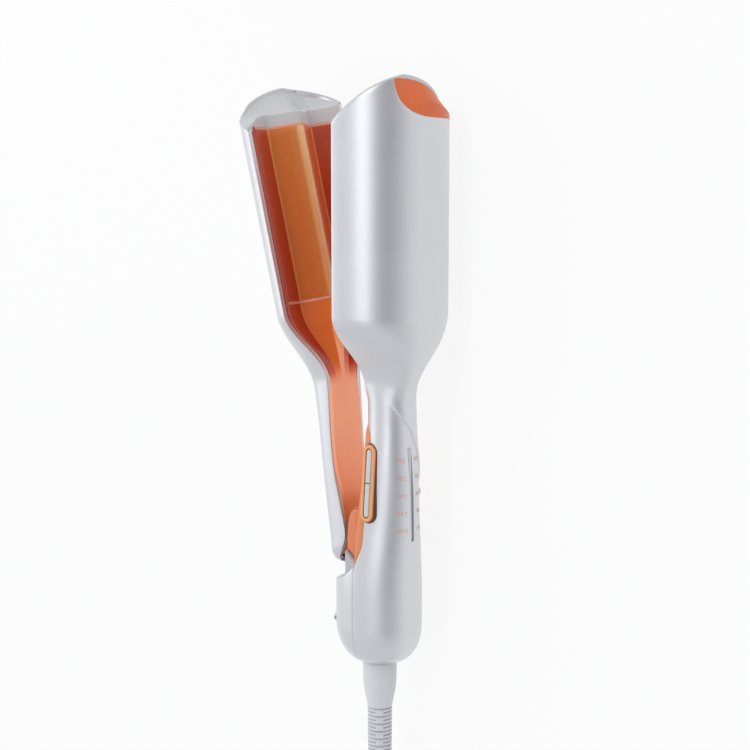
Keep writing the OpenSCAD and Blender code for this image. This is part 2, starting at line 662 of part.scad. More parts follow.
// ---- Lever ----
function lever_ring(y, top = false) = concat(
    [for (j = [0:arc_n - 1]) let (u = 90 * sweep(j)) lever_point(y, u, 0) - [0, top ? fall(u, -1) : 0, 0]],
    [for (j = [arc_n - 1:-1:0]) let (u = 90 * sweep(j)) lever_point(y, u, wall) - [0, top ? fall(u, -1) : 0, 0]]);
lever_stations = concat([for (y = [lever_y0:3:66]) y], [fixed_y], [for (k = [78:8:134]) up(k)],
    [for (k = [142:5:192]) up(k)], [head_y]);
module lever_shell() {
    color([0.80, 0.81, 0.84]) on_lever() union() {
        difference() {
            loft(concat([for (y = lever_stations) lever_ring(y)], [lever_ring(arm_l, true)]), flip = true);
            tip_insert(lever_depth, -1, insert_room);
        }
        // closed lower end and the bosses for the bracket screws
        loft([for (y = [lever_y0, lever_y0 + 1.8]) lever_plug_ring(y)], flip = true);
        for (y = [14, 26]) difference() {
            translate([bracket_x - bracket_t - 0.1, hinge_y + y, 0]) rotate([0, -90, 0])
                cylinder(r = 3, h = -lever_back(hinge_y + y) + bracket_x - bracket_t - 1.2);
            translate([bracket_x, hinge_y + y, 0]) rotate([0, -90, 0]) cylinder(r = 1.35, h = 7);
        }
    }
}
function lever_plug_ring(y) = concat(
    [for (j = [0:arc_n - 1]) lever_point(y, 88 * sweep(j), 0.4)],
    [for (j = [arc_n - 1:-1:0]) let (p = lever_point(y, 88 * sweep(j), 0.4)) [lever_rim(y) - 0.3, y, p[2] * 0.95]]);
cover_stations = concat([cover_y0], [for (k = [79:5:189]) up(k)], [plate_y0 - 2]);
module lever_inner_cover() {
    color([0.88, 0.42, 0.22]) on_lever() difference() {
        union() {
            loft([for (y = cover_stations)
                neck_ring(y, lever_rim(y) - 0.3, lever_half(y) - wall - fit_gap - 0.3, -1)]);
            plate_frame(-1, lever_plate_y1);
        }
        translate([stop_x - 3, stop_y, stop_z]) rotate([0, 90, 0]) cylinder(r = stop_r + 0.1, h = 8);
    }
}
module lever_tip_insert() {
    color([0.90, 0.43, 0.24]) on_lever() tip_insert(lever_depth, -1, insert_body);
}
module lever_end_cap() {
    color([0.72, 0.73, 0.75]) on_lever() difference() {
        end_cap(lever_depth, -1, lever_plate_y1);
        plate_end_cut(lever_plate_y1);
        // crescent finger dimple
        translate([-lever_depth + 8, arm_l - 3, -8]) sphere(r = 7);
    }
}
module lever_wave_plate() {
    color([0.73, 0.35, 0.16]) on_lever() wave_plate(-1, lever_plate_y1);
}
module lever_heater() {
    color([0.92, 0.91, 0.88]) on_lever()
        block([lever_heater_x - heater_t, plate_y0 + heater_inset, -heater_w / 2],
            [lever_heater_x, plate_y1 - heater_inset, heater_w / 2]);
}
lever_clip_x = valley_x - half_gap - plate_t - 0.2;
module lever_heater_clip() {
    color([0.70, 0.71, 0.72]) on_lever() {
        heater_clip(lever_clip_x, -1, clip_t);
        for (y = [plate_y0 + 20, plate_y1 - 30]) block([lever_clip_x, y + 2, -3], [lever_heater_x - heater_t - 0.1, y + 8, 3]);
    }
}
module lever_thermal_fuse() {
    color([0.85, 0.85, 0.86]) on_lever()
        translate([lever_heater_x - heater_t - 2.2, plate_y1 - 19, 0]) rotate([-90, 0, 0]) cylinder(r = 2, h = 11);
}
stop_y = up(172);
stop_z = -6;
stop_r = 2;
stop_x = lever_rim(stop_y) - 0.3 + flare(stop_y) * wave_full(stop_z / lever_half(stop_y) * head_half);
module rubber_stop() {
    color([0.10, 0.10, 0.10]) on_lever()
        translate([stop_x - cover_t, stop_y, stop_z]) rotate([0, 90, 0]) cylinder(r = stop_r, h = cover_t);
}
module heater_leads() {
    color([0.85, 0.85, 0.82]) on_table() for (z = [-1, 1] * 2.4)
        translate([-13, 70.5, z]) rotate([0, 90, 0]) cylinder(r = 0.9, h = 13.3);
}

// ---- Cord, coil and plug ----
relief_end = [centre[0], centre[1] - relief_l, centre[2]];
cord_sides = 12;
cord_r = cord_d / 2;
coil_turn = coil_r + 5;
coil_centre = [relief_end[0] + coil_turn, relief_end[1] - 108, 0];
// Route of the free stretch, from the strain relief down to the table and into the coil
cord_route = [[0, 0, 34.5], [0, -10, 34.5], [0, -20, 34.1], [0, -30, 32.8], [0, -40, 30], [0, -50, 25.3],
    [0, -60, 19.2], [0, -70, 12.8], [0, -80, 7.6], [0, -90, 4.4], [0, -97, 3.2]];
function ring_at(p, dir) =
    let (t = dir / norm(dir), side = [1, 0, 0], up = cross(side, t))
    [for (k = [0:cord_sides - 1]) let (a = 360 * k / cord_sides) p + cord_r * (cos(a) * side + sin(a) * up)];
function route_dir(k) =
    cord_route[min(len(cord_route) - 1, k + 1)] - cord_route[max(0, k - 1)];
// The last stretch runs from the top of the coil round to the sleeve of the plug
coil_w = 18;
plug_side = coil_r + 16;
plug_z = 7;
sleeve_y = 16;
tail_n = 10;
function tail_point(s) =
    let (r = coil_r + 6 + (plug_side - coil_r - 6) * ease(s, 0, 0.72), a = -80 * (1 - s))
    [r * cos(a), r * sin(a), 15 - (15 - plug_z) * ease(s, 0.08, 0.9)];
tail_route = concat([for (k = [0:tail_n]) tail_point(k / tail_n)], [[plug_side, sleeve_y + 1, plug_z]]);
function tail_dir(k) = tail_route[min(tail_n + 1, k + 1)] - tail_route[max(0, k - 1)];
function tail_ring(k) =
    let (t = tail_dir(k) / norm(tail_dir(k)), side = cross([0, 0, 1], t) / norm(cross([0, 0, 1], t)),
        up = cross(side, t))
    [for (j = [0:cord_sides - 1]) let (a = 360 * j / cord_sides) tail_route[k] + cord_r * (cos(a) * side + sin(a) * up)];
module cord_tube() {
    color([0.88, 0.88, 0.90]) {
        translate([relief_end[0], relief_end[1], 0])
            loft([for (k = [0:len(cord_route) - 1]) ring_at(cord_route[k], route_dir(k))]);
        translate(coil_centre) loft([for (k = [0:tail_n + 1]) tail_ring(k)]);
    }
}
tie_w = 8;
tie_t = 1;
module coil_ring(extra) {
    rotate_extrude($fn = 96) translate([coil_r - coil_w / 2 - extra, 0]) square([coil_w + 2 * extra, coil_h + extra]);
}
module cord_coil() {
    color([0.88, 0.88, 0.90]) translate(coil_centre) difference() {
        coil_ring(0);
        translate([0, coil_r, 0]) cube([tie_w + 0.4, 2 * coil_w, 2 * tie_t], center = true);
    }
}
module cord_tie() {
    color([0.20, 0.20, 0.22]) translate(coil_centre + [0, coil_r, 0]) difference() {
        translate([0, 0, (coil_h + tie_t) / 2]) cube([tie_w, coil_w + 2 * tie_t + 1.2, coil_h + tie_t], center = true);
        translate([0, 0, (coil_h + tie_t) / 2]) cube([tie_w + 1, coil_w + 1.2, coil_h - tie_t], center = true);
    }
}
plug_l = 36;
pin_l = 19;
plug_pin_r = 2;
pin_pitch = 18.6;
module plug_body() {
    color([0.88, 0.88, 0.90]) translate([coil_centre[0] + plug_side, coil_centre[1], plug_z]) {
        translate([0, sleeve_y, 0]) rotate([-90, 0, 0]) cylinder(r = 3.4, h = 26);
        translate([0, 42, 0]) rotate([-90, 0, 0]) cylinder(r = 4.6, h = 4);
        translate([0, 0, -6.8]) linear_extrude(13.6)
            polygon([[-6, 46], [6, 46], [13, 60], [17.6, 64], [17.6, 46 + plug_l], [-17.6, 46 + plug_l], [-17.6, 64], [-13, 60]]);
    }
}
module plug_pins() {
    color([0.83, 0.80, 0.72]) translate([coil_centre[0] + plug_side, coil_centre[1] + 46 + plug_l, plug_z])
        for (s = [-1, 1]) translate([s * pin_pitch / 2, 0, 0]) rotate([-90, 0, 0]) {
            cylinder(r = plug_pin_r, h = pin_l - 1);
            translate([0, 0, pin_l - 1]) cylinder(r1 = plug_pin_r, r2 = plug_pin_r - 0.8, h = 1);
        }
}

handle_front_shell();
handle_back_cover();
main_inner_cover();
main_tip_insert();
main_end_cap();
main_wave_plate();
main_heater();
main_heater_clip();
main_thermistor();
hinge_frame();
hinge_knuckle();
hinge_pin();
hinge_bushes();
opening_spring();
control_board();
display_board();
light_bar();
key_board();
key_switches();
button_bezel();
plus_key();
minus_key();
power_slider();
slide_switch();
gap_cover();
swivel_retainer();
strain_relief();
back_cover_screws();
lever_shell();
lever_inner_cover();
lever_tip_insert();
lever_end_cap();
lever_wave_plate();
lever_heater();
lever_heater_clip();
lever_thermal_fuse();
lever_bracket();
bracket_screws();
rubber_stop();
heater_leads();
cord_tube();
cord_coil();
cord_tie();
plug_body();
plug_pins();
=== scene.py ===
# %% [markdown]
# # A hair waver, lying on its side
# This lesson dresses a finished construction model of a two-arm hair waver. The
# construction model gives every piece its place and its joint. Here each visible piece
# gets its real surface: soft lofted shells, a leaf-shaped insert, a ribbed strain
# relief, 1.8 m of cord, and finishes made of nodes.
#
# Sizes are in millimetres, as in the construction model, and one function at the end
# of the chain turns them into metres on the table. X is the way across the two arms,
# Y runs from the cord to the tips and Z points up from the table.

import math

import bmesh
import bpy
import numpy as np
from mathutils import Matrix, Vector


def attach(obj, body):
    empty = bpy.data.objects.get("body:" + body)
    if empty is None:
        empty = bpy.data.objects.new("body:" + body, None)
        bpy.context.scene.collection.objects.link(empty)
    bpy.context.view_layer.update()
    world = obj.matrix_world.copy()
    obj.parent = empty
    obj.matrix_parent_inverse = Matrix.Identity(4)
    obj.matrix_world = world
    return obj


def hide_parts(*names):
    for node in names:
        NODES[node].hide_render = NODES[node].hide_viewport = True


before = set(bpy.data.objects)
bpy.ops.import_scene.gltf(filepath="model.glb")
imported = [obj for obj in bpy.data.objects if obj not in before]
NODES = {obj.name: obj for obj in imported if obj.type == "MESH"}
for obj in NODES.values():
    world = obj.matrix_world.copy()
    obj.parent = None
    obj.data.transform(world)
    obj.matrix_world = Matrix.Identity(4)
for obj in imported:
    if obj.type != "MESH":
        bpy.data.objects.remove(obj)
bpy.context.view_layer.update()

# %% [markdown]
# ## The driving sizes
# A hair waver is two long shells that meet at a flat parting plane. Everything else is
# placed from a few lengths, so they come first and carry the names they have in the
# construction model.

# %% Driving sizes in millimetres
ARM_L = 310
HEAD_HALF = 34.5
HEAD_DEPTH = 36
LEVER_DEPTH = 22
NECK_HALF = 12
NECK_DEPTH = 22
HANDLE_HALF = 20.5
HANDLE_FRONT = 24
HANDLE_BACK = 26
WALL = 2.2
HALF_GAP = 0.5
END_DROP = 24
OPEN_ANGLE = math.radians(16)
HINGE = (-7, 60)
COLLAR_R = 9
DOME_H = 20
PLATE_HALF = 29
VALLEY_Z = 15.5
EDGE_X = -0.8
PLATE_Y0 = 194
PLATE_Y1 = 283
LEVER_PLATE_Y1 = 286
WAVE_H = 10
LIP_HALF = HEAD_HALF - WALL - 0.3
LEVER_SHORT = 6
lever_reach = (
    HINGE[0]
    - (LEVER_DEPTH + HINGE[0]) * math.cos(OPEN_ANGLE)
    - (ARM_L - LEVER_SHORT - HINGE[1]) * math.sin(OPEN_ANGLE)
)
CENTRE = np.array([-(HEAD_DEPTH + lever_reach) / 2, -ARM_L / 2, HEAD_HALF])
print("the arms are centred by", CENTRE.round(3))

# %% Soft steps
def ease(y, y0, y1):
    """0 before y0, 1 after y1 and a soft step between them."""
    t = np.clip((np.asarray(y, float) - y0) / (y1 - y0), 0, 1)
    return t * t * (3 - 2 * t)


def domed(size, y):
    """A size that closes in a quarter round towards the collar of the cord."""
    dome = np.sqrt(np.clip(1 - np.clip(1 - np.asarray(y, float) / DOME_H, 0, 1) ** 2, 0, 1))
    return COLLAR_R + 1 + (size - COLLAR_R - 1) * dome


print("half the height of the domed end", domed(HANDLE_HALF, [0, DOME_H / 2, DOME_H]).round(2))

# %% [markdown]
# ## Profiles of the two arms
# Each outline runs from the handle over the neck to the head. A pair of heights says
# where one stretch runs into the next, and a soft step between the two gives the curve.

# %% Profiles of the main arm
SIDE_TO_NECK = (35, 135)
SIDE_TO_HEAD = (150, 188)
FRONT_TO_NECK = (90, 135)
FRONT_TO_HEAD = (141, 178)
NECK_LIFT = 9
RIM_LIFT = 5


def main_half(y):
    """Half width of the main arm."""
    neck = (NECK_HALF - HANDLE_HALF) * ease(y, *SIDE_TO_NECK)
    head = (HEAD_HALF - NECK_HALF) * ease(y, *SIDE_TO_HEAD)
    return domed(HANDLE_HALF + neck + head, y)


def main_mid(y):
    """The line that the arch of the main arm is drawn round; it is lifted at the neck."""
    return NECK_LIFT * ease(y, 70, 118) * (1 - ease(y, 140, 165))


def main_front(y):
    """The outermost line of the main arm."""
    neck = (NECK_DEPTH - HANDLE_FRONT) * ease(y, *FRONT_TO_NECK)
    head = (HEAD_DEPTH - NECK_DEPTH) * ease(y, *FRONT_TO_HEAD)
    return domed(HANDLE_FRONT + neck + head, y)


def rim_x(y):
    """The rim of the front shell; it stands back where the orange strip shows beside the keys."""
    return HALF_GAP + RIM_LIFT * ease(y, 50, 68) * (1 - ease(y, 122, 133))


print("main arm, half width along it:", main_half([0, 100, 140, ARM_L]).round(1))

# %% Profiles of the lever
LEVER_TO_HEAD = (142, 184)
LEVER_NECK_DEPTH = 18.5
FOOT_BULGE = 12.5
NECK_HOLLOW = 10.8
FOOT_HOLLOW = 17
FOOT_SHARE = 0.55


def lever_half(y):
    """Half width of the lever, which narrows at its foot."""
    arm = NECK_HALF + (HEAD_HALF - NECK_HALF) * ease(y, *SIDE_TO_HEAD)
    return arm * (FOOT_SHARE + (1 - FOOT_SHARE) * ease(y, 48, 63))


def lever_rim(y):
    """The rim of the lever's shell; it draws back at the neck, and further at the foot."""
    return -HALF_GAP - NECK_HOLLOW * (1 - ease(y, 95, 172)) - FOOT_HOLLOW * (1 - ease(y, 48, 76)) ** 1.8


def lever_back(y):
    """The outermost line of the lever."""
    arm = LEVER_NECK_DEPTH + (LEVER_DEPTH - LEVER_NECK_DEPTH) * ease(y, *LEVER_TO_HEAD)
    return -(arm + FOOT_BULGE * (1 - ease(y, 40, 158))) * (0.85 + 0.15 * ease(y, 51, 62))


print("lever rim", lever_rim([60, 100, 200]).round(1), "back", lever_back([60, 100, 200]).round(1))


# %% [markdown]
# ## Ends of the heads
# Both heads end in a slanting face: the outer edge is highest a little round from the
# pole of the shell and falls away on both sides. The fall is one curve, and the orange
# insert hangs below it like a leaf, steep at its tip and long at its tail.

# %% Fall of the ends, leaf of the inserts and wave of the plates
LEAF_START = 34
LEAF_END = {1: -64, -1: -72}
INSERT_H = 18.5
MAIN_PEAK = 25
MAIN_SPANS = (65, 80)
LEVER_PEAK = -18
LEVER_SPAN = 108
CREST_ROUND = 0.12
WAVE_SINK = 0.7


def fall(u, side):
    """How far the end lies below its peak at an angle round the section, in degrees."""
    if side > 0:
        span = np.where(u > MAIN_PEAK, *MAIN_SPANS)
        return END_DROP * np.clip(np.abs(u - MAIN_PEAK) / span, 0, 1) ** 1.7
    return END_DROP * np.clip(np.abs(u - LEVER_PEAK) / LEVER_SPAN, 0, 1) ** 1.5


def leaf_share(u, side):
    """0 at the upper tip of the insert and 1 at its lower tip."""
    return (LEAF_START - u * side) / (LEAF_START - LEAF_END[side])


def leaf(u, side):
    """Height of the insert below the end at that angle."""
    return INSERT_H * np.sin(math.pi * np.sqrt(np.clip(leaf_share(u, side), 0, 1)))


def gable(z):
    """1 at the rounded crest of the wave and 0 at its fold lines."""
    top = math.hypot(1, CREST_ROUND)
    return (top - np.hypot(np.asarray(z, float) / VALLEY_Z, CREST_ROUND)) / (top - CREST_ROUND)


def wave_full(z):
    """The wave: crest, fold line, slope up to the edge of the plate, and on to the lip of the shell."""
    z = np.abs(np.asarray(z, float))
    valley = -WAVE_SINK * WAVE_H
    climb = valley + (EDGE_X - valley) * (z - VALLEY_Z) / (PLATE_HALF - VALLEY_Z)
    lip = EDGE_X * (LIP_HALF - z) / (LIP_HALF - PLATE_HALF)
    return np.where(z < VALLEY_Z, valley + WAVE_H * gable(z), np.where(z < PLATE_HALF, climb, lip))


print("wave from", float(wave_full(0)), "to", float(wave_full(VALLEY_Z)))

# %% [markdown]
# ## Camera
# A product view like this one is taken with a long lens from a little over a metre, so
# the two arms keep their true proportions. The tips point up in the picture, which is
# why the camera is rolled to the Y axis.

# %% Camera with the tips up
VIEW_TURN = math.radians(44)
VIEW_RISE = math.radians(11)
DISTANCE = 1.117
LENS_PIXELS = 2150
PICTURE = 750
SENSOR = 36
AIM_SIDE = 0.0026
AIM_DOWN = 0.0016


def unit(v):
    """The same direction with length 1."""
    return np.asarray(v, float) / np.linalg.norm(v)


def aim(obj, eye, target, up):
    """Stand obj at eye, looking at target, with up upwards."""
    back = unit(np.asarray(eye) - np.asarray(target))
    right = unit(np.cross(up, back))
    over = np.cross(back, right)
    rows = [[right[i], over[i], back[i], eye[i]] for i in range(3)]
    obj.matrix_world = Matrix(rows + [[0, 0, 0, 1]])


level = math.cos(VIEW_RISE)
view = np.array([level * math.cos(VIEW_TURN), math.sin(VIEW_RISE), level * math.sin(VIEW_TURN)])
view_right = unit(np.cross([0, 1, 0], view))
view_up = np.cross(view, view_right)
middle = np.array([CENTRE[0], 0, CENTRE[2]]) / 1000 - AIM_SIDE * view_right - AIM_DOWN * view_up
camera = bpy.data.objects.new("camera", bpy.data.cameras.new("camera"))
camera.data.sensor_width = SENSOR
camera.data.lens = LENS_PIXELS / PICTURE * SENSOR
camera.data.clip_start = 0.05
bpy.context.scene.collection.objects.link(camera)
aim(camera, middle + DISTANCE * view, middle, (0, 1, 0))
bpy.context.scene.camera = camera
bpy.context.scene.view_settings.view_transform = "Standard"
print("camera", np.round(middle + DISTANCE * view, 3), "lens", round(camera.data.lens, 1))

# %% [markdown]
# ## Finishes
# Every finish starts as a Principled surface. What varies over it, such as a flake in
# the lacquer or a grain in the plate, is written as arithmetic: the class Wire wraps one
# socket and turns `+`, `-` and `*` into Math nodes, so a formula stays readable.

# %% One class for shader arithmetic and one for a finish
class Wire:
    """One output socket of a finish, with arithmetic on values."""

    def __init__(self, finish, socket):
        self.finish = finish
        self.socket = socket

    def math(self, operation, first, second):
        """One Math node on two values or wires."""
        return self.finish.node("ShaderNodeMath", {"operation": operation}, {0: first, 1: second})

    def __add__(self, other):
        return self.math("ADD", self, other)

    def __radd__(self, other):
        return self.math("ADD", other, self)

    def __sub__(self, other):
        return self.math("SUBTRACT", self, other)

    def __rsub__(self, other):
        return self.math("SUBTRACT", other, self)

    def __mul__(self, other):
        return self.math("MULTIPLY", self, other)

    def __rmul__(self, other):
        return self.math("MULTIPLY", other, self)


class Finish:
    """A material with one Principled surface."""

    def __init__(self, name, colour, roughness, **plain):
        self.material = bpy.data.materials.new(name)
        self.material.use_nodes = True
        self.tree = self.material.node_tree
        self.surface = self.tree.nodes["Principled BSDF"]
        self.surface.inputs["Base Color"].default_value = (*colour, 1)
        self.surface.inputs["Roughness"].default_value = roughness
        for socket, value in plain.items():
            self.surface.inputs[socket.replace("_", " ")].default_value = value
        self.material.diffuse_color = (*colour, 1)
        self.place = self.node("ShaderNodeTexCoord", {}, {}, "Object")

    def node(self, kind, settings, sockets, output=0):
        """Any node, from its type, its settings and the values or links of its sockets."""
        made = self.tree.nodes.new(kind)
        for name, value in settings.items():
            if name == "stops":
                ramp = made.color_ramp
                while len(ramp.elements) < len(value):
                    ramp.elements.new(1)
                for element, (position, colour) in zip(ramp.elements, value):
                    element.position = position
                    element.color = (*colour, 1)
            else:
                setattr(made, name, value)
        for name, value in sockets.items():
            if isinstance(value, Wire):
                self.tree.links.new(value.socket, made.inputs[name])
            else:
                made.inputs[name].default_value = value
        return Wire(self, made.outputs[output])

    def noise(self, scale, detail=2, stretch=(1, 1, 1)):
        """Noise in metres, drawn out along an axis where stretch is below 1."""
        spread = self.node("ShaderNodeMapping", {}, {"Vector": self.place, "Scale": stretch})
        return self.node("ShaderNodeTexNoise", {}, {"Vector": spread, "Scale": scale, "Detail": detail})

    def stored(self, name):
        """A value that the piece keeps with its points."""
        return self.node("ShaderNodeAttribute", {"attribute_name": name}, {}, "Fac")

    def ramp(self, value, *stops):
        """A colour for each value between 0 and 1, from pairs of a place and its colour."""
        return self.node("ShaderNodeValToRGB", {"stops": stops}, {"Fac": value})

    def blend(self, mask, first, second):
        """The first colour where the mask is 0, the second where it is 1."""
        sockets = {0: mask, 6: first, 7: second}
        sockets = {k: (*v, 1) if isinstance(v, tuple) else v for k, v in sockets.items()}
        return self.node("ShaderNodeMix", {"data_type": "RGBA"}, sockets, 2)

    def feed(self, socket, wire):
        """Link a wire to a socket of the surface."""
        self.tree.links.new(wire.socket, self.surface.inputs[socket])

    def rough(self, base, spread, scale):
        """Roughness that wanders a little about its base."""
        self.feed("Roughness", base + spread * (self.noise(scale) - 0.5))

    def bump(self, height, distance, strength=1.0):
        """Relief from a height between 0 and 1, that many metres deep."""
        made = self.node("ShaderNodeBump", {}, {"Height": height, "Distance": distance, "Strength": strength})
        self.feed("Normal", made)


print("shader helpers ready")

# %% [markdown]
# ## The finishes of the waver
# The shells are moulded in plastic and sprayed with a satin silver lacquer: mostly metal,
# part paint, with a fine flake. The mouldings between them are a satin orange with painted
# light on it: painted shade turns it deep red in the hollows, and on the open faces it is a
# warm peach with a weak painted glow. The plates carry a matt ceramic coat with a fine
# grain, with painted shade and painted highlight in the same way.

# %% Silver lacquer, and the grey mouldings
def silver_lacquer():
    """Satin lacquer with a fine flake and slightly uneven cover."""
    plain = {"Metallic": 0.72, "Coat_Weight": 0.3, "Coat_Roughness": 0.3}
    f = Finish("silver_lacquer", (0.70, 0.71, 0.74), 0.36, **plain)
    flake = f.noise(5200, 1)
    cloud = f.noise(38, 2)
    f.feed("Base Color", f.blend(cloud, (0.685, 0.695, 0.725), (0.725, 0.735, 0.76)))
    f.feed("Roughness", 0.34 + 0.05 * cloud + 0.05 * flake)
    f.bump(flake, 0.00001, 0.25)
    return f.material


def moulded(name, colour, roughness):
    """Plain moulded plastic with the fine grain of its mould."""
    f = Finish(name, colour, roughness)
    grain = f.noise(1600, 3)
    f.feed("Roughness", roughness + 0.12 * (grain - 0.5))
    f.bump(grain, 0.00003, 0.3)
    return f.material


SILVER = silver_lacquer()
END_GREY = moulded("end_grey", (0.66, 0.675, 0.685), 0.36)
GAP_GREY = moulded("gap_grey", (0.50, 0.51, 0.54), 0.5)
FRAME_GREY = moulded("frame_grey", (0.45, 0.46, 0.48), 0.6)
KEY_GREY = moulded("key_grey", (0.60, 0.64, 0.64), 0.42)
BLACK_MOULDING = moulded("black_moulding", (0.03, 0.03, 0.033), 0.55)
print("greys:", SILVER.name, END_GREY.name, KEY_GREY.name)

# %% Orange mouldings, inserts and plates
def neck_orange():
    """Painted light on orange: peach with a painted glow on the open faces and painted shade of deep red in
    the hollows, by the depth that the piece stores.
    """
    plain = {"Coat_Weight": 0.3, "Coat_Roughness": 0.2, "Emission_Strength": 0.2}
    f = Finish("neck_orange", (0.83, 0.38, 0.19), 0.3, **plain)
    hollow = f.stored("hollow")
    cloud = f.noise(60, 2)
    # painted light: peach on the open faces, and painted shade of darker reds deeper in the hollows
    shade = f.ramp(
        hollow + 0.06 * (cloud - 0.5),
        (0.0, (0.97, 0.50, 0.31)),
        (0.14, (0.95, 0.40, 0.22)),
        (0.42, (0.83, 0.215, 0.045)),
        (0.7, (0.74, 0.085, 0.015)),
        (1.0, (0.50, 0.04, 0.006)),
    )
    f.feed("Base Color", shade)
    # painted glow: the open faces emit a little peach light and the hollows almost none
    f.feed("Emission Color", f.blend(2.1 * hollow, (0.90, 0.30, 0.11), (0.04, 0.006, 0.0)))
    f.rough(0.3, 0.1, 420)
    f.bump(f.noise(1500, 3), 0.00002, 0.3)
    return f.material


def insert_orange():
    """Grippy orange plastic with a matt grain."""
    f = Finish("insert_orange", (0.80, 0.17, 0.05), 0.42, Coat_Weight=0.15, Coat_Roughness=0.3)
    cloud = f.noise(45, 2)
    grain = f.noise(2400, 3)
    f.feed("Base Color", f.blend(cloud, (0.79, 0.15, 0.033), (0.84, 0.17, 0.043)))
    f.feed("Roughness", 0.38 + 0.12 * grain)
    f.bump(grain, 0.00003, 0.35)
    return f.material


def plate_coat():
    """Ceramic coat with a fine grain drawn out along the plate, with painted shade and painted highlight from
    the depth that the plate stores.
    """
    plain = {"Metallic": 0.2, "Coat_Weight": 0.3, "Coat_Roughness": 0.2}
    f = Finish("plate_coat", (0.66, 0.20, 0.045), 0.4, **plain)
    hollow = f.stored("hollow")
    grain = f.noise(900, 4, (1, 0.05, 1))
    speck = f.noise(3600, 2)
    # painted light: peach on the crest as a painted highlight, deep red on the outer slopes as painted shade
    coat = f.ramp(
        hollow + 0.14 * (grain - 0.5),
        (0.0, (0.95, 0.60, 0.30)),
        (0.25, (0.80, 0.33, 0.09)),
        (0.45, (0.74, 0.195, 0.03)),
        (0.62, (0.74, 0.11, 0.012)),
        (1.0, (0.50, 0.045, 0.004)),
    )
    f.feed("Base Color", coat)
    f.feed("Roughness", 0.34 + 0.14 * speck)
    f.bump(0.6 * grain + 0.4 * speck, 0.00003, 0.3)
    return f.material


def bezel_orange():
    """The glossier orange of the ring round the keys."""
    f = Finish("bezel_orange", (0.90, 0.37, 0.125), 0.34, Coat_Weight=0.3, Coat_Roughness=0.15)
    f.rough(0.34, 0.1, 700)
    f.bump(f.noise(2000, 3), 0.00002, 0.25)
    return f.material


NECK_ORANGE = neck_orange()
INSERT_ORANGE = insert_orange()
CHEEK_ORANGE = moulded("cheek_orange", (0.74, 0.21, 0.085), 0.35)
# a darker orange, painted shade for the apron in the dim gap between the cheeks
SHADED_ORANGE = moulded("shaded_orange", (0.80, 0.10, 0.02), 0.4)
STRIP_ORANGE = moulded("strip_orange", (0.76, 0.26, 0.10), 0.35)
# light salmon for the beads, a painted highlight along the ends of the plates
BEAD_HIGHLIGHT = moulded("bead_highlight", (0.88, 0.42, 0.27), 0.35)
PLATE_COAT = plate_coat()
BEZEL_ORANGE = bezel_orange()
# near black brown for the two rings of painted shadow round the bezel
BEZEL_SHADOW = moulded("bezel_shadow", (0.13, 0.035, 0.012), 0.4)
print("oranges:", NECK_ORANGE.name, INSERT_ORANGE.name, PLATE_COAT.name)

# %% Cord, window, ink, metals and boards
def cord_jacket():
    """Soft light grey plastic, for the cord, its strain relief and the plug."""
    f = Finish("cord_jacket", (0.74, 0.74, 0.765), 0.45, Coat_Weight=0.1, Coat_Roughness=0.4)
    grain = f.noise(900, 3)
    f.feed("Base Color", f.blend(f.noise(30, 2), (0.72, 0.72, 0.75), (0.765, 0.765, 0.785)))
    f.feed("Roughness", 0.4 + 0.12 * grain)
    f.bump(grain, 0.00004, 0.3)
    return f.material


def metal(name, colour, roughness, grain=700):
    """Bare metal, brushed along its length."""
    f = Finish(name, colour, roughness, Metallic=1.0)
    brushed = f.noise(grain, 3, (1, 0.1, 1))
    f.feed("Roughness", roughness + 0.15 * (brushed - 0.5))
    f.bump(brushed, 0.00002, 0.25)
    return f.material


def board_green():
    """Circuit board with a hint of tracks under its lacquer."""
    f = Finish("board_green", (0.02, 0.10, 0.045), 0.4, Coat_Weight=0.4, Coat_Roughness=0.1)
    tracks = f.noise(420, 1)
    f.feed("Base Color", f.blend(tracks, (0.015, 0.085, 0.035), (0.03, 0.16, 0.07)))
    f.feed("Roughness", 0.35 + 0.15 * tracks)
    return f.material


def milky_window():
    """The clouded window over the row of lights."""
    f = Finish("milky_window", (0.66, 0.67, 0.69), 0.3, Coat_Weight=0.4, Coat_Roughness=0.1)
    f.rough(0.3, 0.08, 500)
    return f.material


def scale_ink(name, colour):
    """Printed ink, dull and a little uneven."""
    f = Finish(name, colour, 0.5)
    f.rough(0.5, 0.2, 3000)
    return f.material


CORD_JACKET = cord_jacket()
STEEL = metal("spring_steel", (0.62, 0.63, 0.64), 0.3)
BRONZE = metal("sintered_bronze", (0.52, 0.34, 0.14), 0.5, 1500)
PIN_METAL = metal("pin_metal", (0.66, 0.62, 0.52), 0.22)
CERAMIC = moulded("alumina", (0.82, 0.80, 0.76), 0.7)
SLEEVE = moulded("silicone_sleeve", (0.68, 0.68, 0.64), 0.55)
RUBBER = moulded("black_rubber", (0.02, 0.02, 0.021), 0.7)
BOARD_GREEN = board_green()
WINDOW = milky_window()
SALMON_INK = scale_ink("salmon_ink", (0.82, 0.28, 0.20))
MUTED_INK = scale_ink("muted_ink", (0.50, 0.36, 0.36))
print("finishes made:", len(bpy.data.materials))

# %% [markdown]
# ## From drawn points to a piece
# A shell is drawn as a grid of points: rows along the arm and columns round it. A grid
# is easy to shape with formulas, and it makes clean four-sided faces. The Solidify
# modifier gives it its wall and the Bevel modifier rounds its rims, as a mould does.

# %% Helpers that turn points into pieces
def spots(x, y, z):
    """Points from three coordinates, each a number or an array of matching shape."""
    return np.stack(np.broadcast_arrays(x, y, z), -1)


def turned(x, y, angle):
    """Two coordinates turned about the origin."""
    c, s = math.cos(angle), math.sin(angle)
    return x * c - y * s, x * s + y * c


def circle(radius, count=32):
    """Evenly spaced points round a circle, as pairs."""
    angles = np.arange(count) * math.tau / count
    return [(radius * math.cos(a), radius * math.sin(a)) for a in angles]


